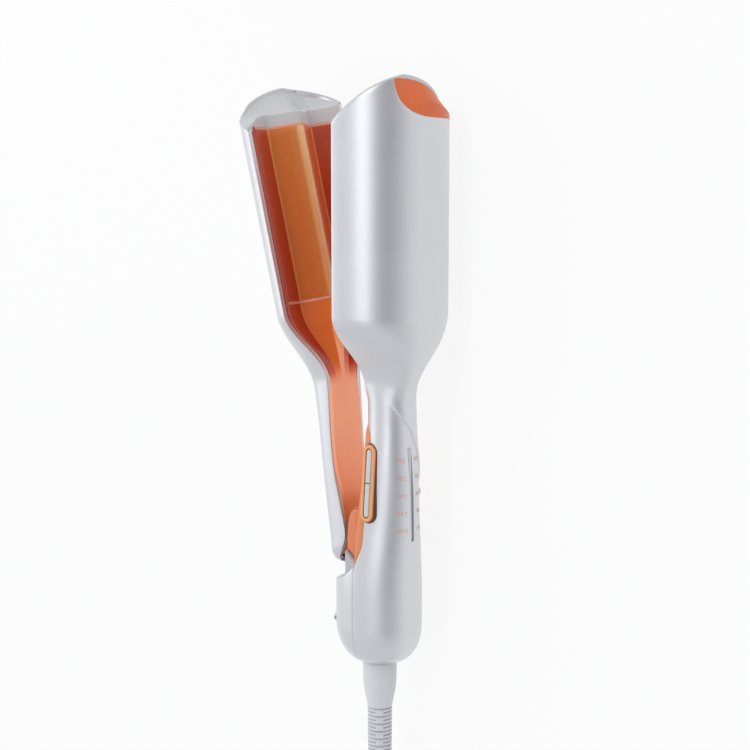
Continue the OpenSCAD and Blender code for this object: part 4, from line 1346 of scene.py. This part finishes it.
# %% The strip beside the keys
strip_rings = []
for y in np.concatenate([np.arange(55, 120, 2.0), np.arange(120, 131.6, 0.8)]):
    front = float(rim_x(y)) - 0.3
    mid = float(main_mid(y))
    reach = float(main_front(y)) - mid
    rim = float(main_half(y)) * math.sin(math.acos((front - mid) / reach)) - 0.1
    low = max(float(main_half(y)) * math.sin(math.acos((HALF_GAP - mid) / reach)), rim - 0.35)
    wing = [(front, rim), (HALF_GAP + 0.9, low + 0.1), (HALF_GAP + 0.25, low - 0.15), (HALF_GAP, low - 0.8)]
    wing += [(HALF_GAP, low * s) for s in (0.7, 0.3)]
    ring = [(x, y, z) for x, z in wing] + [(x, y, -z) for x, z in wing[::-1]]
    ring += [(front, y, -rim + 2.4), (HALF_GAP + 2, y, -low + 2.6)]
    ring += [(HALF_GAP + 2, y, low - 2.6), (front, y, rim - 2.4)]
    strip_rings.append(ring)
key_strip = tube("key_strip", strip_rings, STRIP_ORANGE)
settle(key_strip)
cut(key_strip, key_cutter())
round_edges(key_strip, 0.2, 2, 50)
dress(settle(key_strip, 40), "root", "orange_gloss")

# %% [markdown]
# ### The cheeks of the hinge
# The hinge is hidden between two cheeks of the orange moulding, which stand in the gap
# between the handle and the lever. Their lower edges are cut off on a slant, and above
# the hinge a bridge joins them.

# %% Two cheeks and the bridge between them
CHEEK_ROOT = 0.4
CHEEK_Y = 66
CHEEK_RISE = 18
# distance from the middle, and how far the outline is drawn in there
CHEEK_LAYERS = [(CHEEK_IN, 0.5), (CHEEK_IN + 0.5, 0), (CHEEK_HALF - 1.6, 0)]
CHEEK_LAYERS += [(CHEEK_HALF - 0.7, 0.3), (CHEEK_HALF - 0.15, 0.9), (CHEEK_HALF, 1.7)]
for side, name in ((1, "upper_cheek"), (-1, "lower_cheek")):
    rings = []
    for z, pull in CHEEK_LAYERS:
        edge = np.linspace(CHEEK_ROOT, CHEEK_X + pull, 12)
        ring = [(x, cheek_bottom(x) + 0.3 + pull, side * z) for x in edge]
        for a in np.linspace(0, math.pi / 2, 16):
            reach = (CHEEK_ROOT - CHEEK_X - pull) * math.cos(a) ** 0.5
            ring.append((CHEEK_ROOT - reach, CHEEK_Y + (CHEEK_RISE - pull) * math.sin(a), side * z))
        rings.append(ring)
    cheek = tube(name, rings, CHEEK_ORANGE)
    round_edges(cheek, 0.35, 2, 50)
    dress(settle(cheek, 45), "root", "orange_gloss")
bridge = [(CHEEK_ROOT, 74), (CHEEK_X + 1.4, 74), (CHEEK_X + 0.6, 74.8)]
bridge += [(CHEEK_X + 0.6, 82), (CHEEK_X + 1.6, 83), (CHEEK_ROOT, 83)]
bridge_rings = [[(x, y, z) for x, y in bridge] for z in (-CHEEK_IN, -4, 4, CHEEK_IN)]
cheek_bridge = tube("cheek_bridge", bridge_rings, CHEEK_ORANGE)
dress(settle(cheek_bridge, 45), "root", "orange_gloss")

# %% The apron of the lever between the cheeks
apron_rings = []
for z in (-9.3, -8.9, -4, 0, 4, 8.9, 9.3):
    pull = 0.5 * (abs(z) > 9)
    face = [(-14.3 - pull - 0.012 * (y - 66) ** 2, y, z) for y in np.linspace(56.8 + pull, 77 - pull, 12)]
    apron_rings.append(face + [(p[0] - 0.6, p[1], z) for p in face[::-1]])
# its darker orange is painted shade for the gap between the cheeks
apron = tube("hinge_apron", apron_rings, SHADED_ORANGE, True)
dress(settle(apron, 45), "lever", "orange_gloss")

# %% [markdown]
# ## The lever
# The lever is a shallower shell, boxy at the neck and round at the head, and closed at
# its lower end. It is drawn closed and turned open with its points, so that it lies
# where the construction model has it at rest.

# %% The shell of the lever
LEVER_Y0 = 54.8
FOOT_ROUND = 3.2


def boxy(y):
    """Power of the section: 1 on the round head, and less where its corners fill out."""
    return 0.6 + 0.4 * ease(y, 150, 185)


def lever_point(y, u, inset=0.0):
    """A point of the lever's section at y and angle u, that far inside its face."""
    k = boxy(y)
    across = np.abs(np.sin(np.radians(u))) ** k * np.sign(u)
    out = np.abs(np.cos(np.radians(u))) ** k
    rim = lever_rim(y)
    x = rim - (rim - lever_back(y) - inset) * out
    return spots(x, y, (lever_half(y) - inset) * across)


lever_angles = np.linspace(-90, 90, 85)
lever_grid = []
for t in np.linspace(0, 1, 10)[:-1]:
    y = LEVER_Y0 + FOOT_ROUND * (1 - math.cos(t * math.pi / 2))
    roll = min(FOOT_ROUND * (1 - math.sin(t * math.pi / 2)), 0.5 * float(lever_rim(y) - lever_back(y)))
    lever_grid.append(lever_point(y, lever_angles, roll))
for y in np.concatenate([np.arange(LEVER_Y0 + FOOT_ROUND, 140, 1.9), np.arange(140, HEAD_Y, 2.0)]):
    lever_grid.append(lever_point(y, lever_angles))
for t in np.linspace(0, 1, HEAD_ROWS):
    lever_grid.append(lever_point(HEAD_Y + (shell_top(lever_angles, -1) - HEAD_Y) * t, lever_angles))
lever_grid = np.array(lever_grid)
rows, columns = lever_grid.shape[:2]
lever_faces = lattice(rows, columns) + [tuple(reversed(range(columns)))]
lever_shell = make("lever_case", on_table(lever_grid, True), lever_faces, SILVER)
middle_face = lever_shell.data.polygons[rows // 2 * (columns - 1) + columns // 2]
if middle_face.normal.x > 0:
    lever_shell.data.flip_normals()
thicken(lever_shell, WALL)
round_edges(lever_shell, 0.45, 3, 45)
dress(settle(lever_shell, 40), "lever", "silver_paint", "lever_shell")

# %% [markdown]
# ## Plates
# Each plate is a pressed aluminium sheet with a ceramic coat. It follows the wave of the
# moulding round it and stands a hair proud of it. Its coat carries painted shade and a
# painted highlight, and a light salmon bead at each end paints the highlight on its edges.

# %% Two wave plates
PLATE_ROWS = 24
PLATE_GAP = 0.15
plate_columns = mirrored(
    np.linspace(0, 4, 14),
    np.linspace(5, VALLEY_Z - 1, 8),
    [VALLEY_Z - 0.25, VALLEY_Z, VALLEY_Z + 0.25],
    np.linspace(VALLEY_Z + 1, PLATE_HALF - PLATE_GAP, 9),
)
# distance from the middle, and how deep in a hollow the finish takes the plate to be there, as painted shade:
# low on the crest and the fold line for a painted highlight, high on the outer slopes
PLATE_PAINTED_SHADE = [(0, 0.03), (2, 0.08), (3.6, 0.36), (8, 0.45), (VALLEY_Z - 0.6, 0.45)]
PLATE_PAINTED_SHADE += [(VALLEY_Z, 0.12), (VALLEY_Z + 0.6, 0.95), (PLATE_HALF, 1.0)]


def plate(name, side, y1, *stands_for):
    """A wave plate with its coat, and a bead at each of its ends, coloured light salmon as a painted
    highlight.
    """
    grid = []
    for y in np.linspace(PLATE_Y0 + PLATE_GAP, y1 - PLATE_GAP, PLATE_ROWS):
        x = wave_full(plate_columns) + side * (HALF_GAP - 0.15)
        grid.append(spots(x, y, plate_columns))
    obj = skin(name, grid, PLATE_COAT, side < 0, wall=2.2, edge=0, inside=(side * 500, 150, 0))
    depth = np.interp(np.abs(plate_columns), *zip(*PLATE_PAINTED_SHADE))
    # the far side of the crest gets a little more painted shade
    depth = depth + 0.14 * (plate_columns < -3) * (np.abs(plate_columns) < VALLEY_Z)
    store_shade_depth(obj, np.tile(depth, PLATE_ROWS))
    round_edges(obj, 0.3, 2, 60)
    body = "root" if side > 0 else "lever"
    dress(settle(obj, 25), body, "plate_coat", *stands_for)
    for place, y in (("top", y1 + 0.45), ("foot", PLATE_Y0 - 0.45)):
        rings = []
        for z in plate_columns:
            face = float(wave_full(z)) + side * (HALF_GAP - 0.2)
            corners = ((0.75, 1.6), (0.75, 0.25), (0.45, 0), (-0.45, 0), (-0.75, 0.25), (-0.75, 1.6))
            rings.append([(face + side * back, y + along, z) for along, back in corners])
        # the light salmon bead paints the highlight along the plate's end
        bead = tube(f"{name}_bead_{place}", rings, BEAD_HIGHLIGHT, side < 0)
        dress(settle(bead, 40), body, "orange_gloss")


plate("main_plate", 1, PLATE_Y1, "main_wave_plate")
plate("lever_plate", -1, LEVER_PLATE_Y1, "lever_wave_plate")

# %% [markdown]
# ## Tips
# An insert of grippy orange plastic wraps the outer corner of each tip. Its lower edge is
# the leaf line that the shell leaves free. It goes straight up from there to a crease,
# and leans in above it towards the slanting end face.

# %% The two inserts
BROW = {1: 4.8, -1: 2.6}
BAND = {1: 1.1, -1: 2.0}


def brow(u, side):
    """How far the chamfer of the insert draws the end in at that angle."""
    return BROW[side] * ease(leaf_share(u, side), 0, 0.16) * ease(leaf(u, side), 0.5, 7)


def band(u, side):
    """Height of the strip of grey cap that shows above the insert and the shell."""
    return CAP_BAND + BAND[side] * ease(leaf_share(u, side), 0, 0.12) * ease(leaf(u, side), 0.5, 6)


def insert(name, side, section, body, *stands_for):
    """A leaf-shaped shell on the tip; section gives a point at y, u and inset."""
    p = np.concatenate([np.linspace(0.0004, 0.03, 14), np.linspace(0.04, 1, 60)])
    u = side * (LEAF_START + (LEAF_END[side] - LEAF_START) * p)
    end = ARM_L - fall(u, side)
    low = end - np.maximum(leaf(u, side), CAP_BAND + 0.3)
    top = end - band(u, side) - 0.05
    tall = top - low
    crease = np.interp(-side * u, [-30, -3, 45, 60], [0.0, 0.46, 0.42, 0.5]) * tall
    grid = []
    for t in np.linspace(0, 1, 8):
        grid.append(section(low + crease * t, u, 0 * u))
    for t in (0.03, 0.06, 0.2, 0.4, 0.6, 0.8, 0.94, 1):
        rounded = t - 0.03 * math.sin(math.pi * min(1, t / 0.12) / 2)
        grid.append(section(low + crease + (tall - crease) * t, u, brow(u, side) * rounded))
    grid.append(section(top - 0.05, u, brow(u, side) + 0.5))
    obj = skin(name, grid, INSERT_ORANGE, side < 0, wall=0.7, edge=0.2)
    return dress(settle(obj, 13), body, "orange_insert", *stands_for)


insert("main_insert", 1, front_point, "root", "main_tip_insert")
insert("lever_insert", -1, lever_point, "lever", "lever_tip_insert")

# %% [markdown]
# ## End faces
# A light grey cap closes each head. Its rim comes up round the whole end as a thin
# band, its top dips towards the middle, and its front wall follows the wave between
# the plate and the end. The cap of the lever also has an oval hollow for the fingertip
# that closes it.

# %% Caps with a dip and a wave-shaped front
DIP = 15.5
TIP_X, TIP_Z = -12.8, -17
TIP_DEPTH = 3.2


def end_cap(name, side, depth, plate_y1, hollow, body, *stands_for):
    """A cap whose rim follows the end of the shell; hollow gives its dent at x and z."""
    close = side * LEAF_START + np.linspace(-9, 9, 37)
    u = np.unique(np.concatenate([np.linspace(-89, 89, 91), close]))
    inset = brow(u, side) + 0.05
    sin, cos = np.sin(np.radians(u)), np.cos(np.radians(u))
    edge_z = (HEAD_HALF - inset) * sin
    edge_x = side * np.maximum((depth - inset) * cos, HALF_GAP)
    edge_turn = np.degrees(np.arctan2(edge_z / HEAD_HALF, np.abs(edge_x) / depth))
    edge_share = np.hypot(edge_z / HEAD_HALF, edge_x / depth)
    end = ARM_L - fall(u, side)

    def top(x, z):
        p, q = x * side / depth, z / HEAD_HALF
        turn = np.degrees(np.arctan2(q, p))
        share = np.hypot(p, q) / np.interp(np.clip(turn, -89, 89), edge_turn, edge_share)
        rise = (DIP - fall(turn, side)) * share ** (1.8 + 2.2 * np.sin(np.radians(turn)) ** 2)
        return ARM_L - DIP + rise - 1.2 * (1 - ease(share, 0.84, 1.0))

    front = side * HALF_GAP + wave_full(np.clip(edge_z, -LIP_HALF, LIP_HALF))
    grid = []
    for down, more in ((1, 0), (0.55, 0), (0.25, 0.1), (0.08, 0.3), (0, 0.6)):
        x = side * np.maximum((depth - inset - more) * cos, HALF_GAP)
        z = (HEAD_HALF - inset - more) * sin
        grid.append(spots(x, end - down * band(u, side), z))
    start_x, start_z = grid[-1][:, 0], grid[-1][:, 2]
    for t in np.linspace(0.03, 1, 34):
        x = start_x + (front - start_x) * t
        grid.append(spots(x, top(x, start_z) - hollow(x, start_z), start_z))
    edge = top(front, start_z) - hollow(front, start_z)
    foot = plate_y1 + 1.2 - 2.6 * ease(np.abs(start_z), 30.9, 31.6)
    for t in np.linspace(0.04, 1, 14):
        grid.append(spots(front, edge + (foot - edge) * t, start_z))
    middle = (side * depth * 0.5, plate_y1 - 60, 0)
    obj = skin(name, grid, END_GREY, side < 0, wall=1.2, edge=0.35, inside=middle)
    return dress(settle(obj, 35), body, "end_grey", *stands_for)


def no_hollow(x, z):
    """The cap of the main arm stays plain."""
    return 0 * (x + z)


def fingertip(x, z):
    """An oval hollow with a soft rim."""
    away = np.hypot((x - TIP_X) / 0.9, (z - TIP_Z) / 1.3)
    return TIP_DEPTH * (1 - ease(away, 1.4, 4.6))


end_cap("main_cap", 1, HEAD_DEPTH, PLATE_Y1, no_hollow, "root", "main_end_cap")
end_cap("lever_cap", -1, LEVER_DEPTH, LEVER_PLATE_Y1, fingertip, "lever", "lever_end_cap")

# %% [markdown]
# ### The rubber stop
# A small black bumper sits in the lever's moulding, just below its hollows. It keeps
# the closed arms apart.

# %% The bumper
STOP_Y, STOP_Z, STOP_R = 172, -6, 2
stop_column = STOP_Z / float(lever_half(STOP_Y)) * HEAD_HALF
stop_x = float(lever_rim(STOP_Y)) - 0.3 + float(flare(STOP_Y) * wave_full(stop_column))
stop_rings = []
for out, inset in ((-1.6, 0), (0.15, 0), (0.3, 0.15), (0.35, 0.5), (0.1, 0.9)):
    stop_rings.append([(stop_x + out, STOP_Y + y, STOP_Z + z) for y, z in circle(STOP_R - inset)])
bumper = tube("rubber_bumper", stop_rings, RUBBER, True)
dress(settle(bumper, 40), "lever", "black_rubber", "rubber_stop")

# %% [markdown]
# ## Bezel and keys
# The keys for more and less heat are two halves of one slim strip. An orange oval stands
# round them, with a painted shadow line on its outside and on its inside. The lines are two
# thin dark rings that paint that shadow.

# %% The oval bezel and its two rings of painted shadow
SLOT_L = BEZEL_L - BEZEL_W + KEY_W + 0.6


def oval_ring(name, profile, finish):
    """A ring drawn through ovals: length, width and height for each corner of its section."""
    rings = [in_bezel(oval(length, width, 96), z) for length, width, z in profile]
    return tube(name, rings, finish, ring=True)


def upright(length, width, wall, low, high):
    """The section of a plain ring: up its outer wall and down its inner one."""
    inner = (length - wall, width - wall)
    return [(length, width, low), (length, width, high), (*inner, high), (*inner, low)]


outside = [(-3.2, 0.0), (1.5, 0.0), (2.05, 0.16), (2.3, 0.55), (2.4, 1.1)]
inside = [(2.4, 0.9), (2.28, 0.45), (2.05, 0.2), (-1.4, 0.2)]
bezel_profile = [(BEZEL_L - 0.5 - 2 * s, BEZEL_W - 0.5 - 2 * s, z) for z, s in outside]
bezel_profile += [(SLOT_L + 2 * s, KEY_W + 0.6 + 2 * s, z) for z, s in inside]
key_bezel = oval_ring("key_bezel", bezel_profile, BEZEL_ORANGE)
dress(settle(key_bezel, 40), "root", "bezel_orange", "button_bezel")
# a thin dark ring outside the bezel paints its shadow on the shell
outer_shadow_profile = upright(BEZEL_L + 0.5, BEZEL_W + 0.5, 1.05, -3, 1.2)
bezel_shadow_ring = oval_ring("bezel_shadow_ring", outer_shadow_profile, BEZEL_SHADOW)
round_edges(bezel_shadow_ring, 0.15, 2)
dress(settle(bezel_shadow_ring, 40), "root", "bezel_orange")
# a thin dark ring inside the bezel paints the shadow round the keys
inner_shadow_profile = upright(SLOT_L + 0.3, KEY_W + 0.9, 0.35, -1.6, 1.9)
key_shadow_ring = oval_ring("key_shadow_ring", inner_shadow_profile, BEZEL_SHADOW)
dress(settle(key_shadow_ring, 40), "root", "bezel_orange")

# %% The two keys
def key_outline(inset, side):
    """Half of the key strip, drawn in from its edge by inset."""
    r = KEY_W / 2 - inset
    y0 = KEY_GAP / 2 + inset
    arc_y = (SLOT_L - 0.6) / 2 - KEY_W / 2
    points = [(-r, y0), (-r, y0 + 5), (-r, arc_y - 4)]
    points += [(-r * math.cos(a), arc_y + r * math.sin(a)) for a in np.linspace(0, math.pi, 17)]
    points += [(r, arc_y - 4), (r, y0 + 5), (r, y0), (0, y0)]
    return [(x, side * y) for x, y in points]


for side, name in ((1, "plus_key"), (-1, "minus_key")):
    layers = []
    for z, inset in ((-0.9, 0), (1.75, 0), (2.0, 0.1), (2.15, 0.3), (2.2, 0.6)):
        layers.append(in_bezel(key_outline(inset, side), z))
    cap = tube(name + "_cap", layers, KEY_GREY)
    dress(settle(cap, 40), name, "key_grey", name)

# %% [markdown]
# ## Pieces inside
# Heaters, boards, hinge, spring and screws already have their right shape in the
# construction model. They keep it, and get finishes of their own.

# %% Finishes for the pieces inside
INSIDE = {
    "hinge_knuckle": BEZEL_ORANGE,
    "hinge_frame": FRAME_GREY,
    "swivel_retainer": FRAME_GREY,
    "main_heater": CERAMIC,
    "lever_heater": CERAMIC,
    "main_heater_clip": STEEL,
    "lever_heater_clip": STEEL,
    "hinge_pin": STEEL,
    "lever_bracket": STEEL,
    "bracket_screws": STEEL,
    "back_cover_screws": STEEL,
    "opening_spring": STEEL,
    "lever_thermal_fuse": STEEL,
    "hinge_bushes": BRONZE,
    "control_board": BOARD_GREEN,
    "display_board": BOARD_GREEN,
    "key_board": BOARD_GREEN,
    "key_switches": BLACK_MOULDING,
    "slide_switch": BLACK_MOULDING,
    "main_thermistor": BLACK_MOULDING,
    "heater_leads": SLEEVE,
    "plug_pins": PIN_METAL,
}
for name, finish in INSIDE.items():
    for slot in NODES[name].material_slots:
        slot.material = finish
print("pieces inside:", len(INSIDE))

# %% [markdown]
# ## Floor and light
# The tool lies on a white table. The floor shows white to the camera and in reflections,
# and keeps the soft shadow. One long soft light hangs above the key side and a weak fill
# comes from the left. The room is pale grey with one dark patch, so the round shells
# mirror a bright band beside a darker one.

# %% The floor
def pale_floor():
    """White to the camera and in reflections, and a plain pale floor for the shadow."""
    f = Finish("pale_floor", (0.9, 0.9, 0.9), 0.9)
    glow = f.node("ShaderNodeEmission", {}, {"Color": (1, 1, 1, 1), "Strength": 1.0})
    seen = f.node("ShaderNodeLightPath", {}, {}, "Is Camera Ray")
    for ray in ("Is Glossy Ray", "Is Transmission Ray"):
        seen = seen.math("MAXIMUM", seen, f.node("ShaderNodeLightPath", {}, {}, ray))
    mixed = f.node("ShaderNodeMixShader", {}, {0: 0.86 * seen, 1: Wire(f, f.surface.outputs[0]), 2: glow})
    out = f.tree.nodes["Material Output"]
    f.tree.links.new(mixed.socket, out.inputs["Surface"])
    return f.material


bpy.ops.mesh.primitive_plane_add(size=8, location=(0, 0, 0))
floor = bpy.context.object
floor.name = "floor"
floor.data.materials.append(pale_floor())
print("floor laid")

# %% Lights and world
LIGHT_TARGET = (0, 0, 0.03)
PATCH_TOWARD = (0.72, 0.15, 0.68)
ROOM_GREY = (0.74, 0.745, 0.76, 1)
PATCH_GREY = (0.10, 0.10, 0.12, 1)


def softbox(name, place, width, height, watts):
    """A rectangular lamp that looks at the middle of the tool."""
    lamp = bpy.data.lights.new(name, "AREA")
    lamp.shape = "RECTANGLE"
    lamp.size = width
    lamp.size_y = height
    lamp.energy = watts
    obj = bpy.data.objects.new(name, lamp)
    bpy.context.scene.collection.objects.link(obj)
    aim(obj, place, LIGHT_TARGET, (0, 1, 0.001))
    return obj


key_light = softbox("key_light", (0.30, 0.40, 1.10), 0.5, 1.4, 4)
side_fill = softbox("side_fill", (-0.9, 0.2, 0.6), 0.6, 1.2, 2)
world = bpy.data.worlds.new("room")
world.use_nodes = True
room = world.node_tree
background = room.nodes["Background"]
direction = room.nodes.new("ShaderNodeTexCoord")
toward = room.nodes.new("ShaderNodeVectorMath")
toward.operation = "DOT_PRODUCT"
toward.inputs[1].default_value = PATCH_TOWARD
fade = room.nodes.new("ShaderNodeMapRange")
fade.interpolation_type = "SMOOTHSTEP"
fade.inputs["From Min"].default_value = 0.78
fade.inputs["From Max"].default_value = 0.99
tone = room.nodes.new("ShaderNodeMix")
tone.data_type = "RGBA"
tone.inputs[6].default_value = ROOM_GREY
tone.inputs[7].default_value = PATCH_GREY
room.links.new(direction.outputs["Generated"], toward.inputs[0])
room.links.new(toward.outputs["Value"], fade.inputs["Value"])
room.links.new(fade.outputs["Result"], tone.inputs[0])
room.links.new(tone.outputs[2], background.inputs["Color"])
background.inputs["Strength"].default_value = 1.0
bpy.context.scene.world = world
print("lights:", key_light.name, side_fill.name)
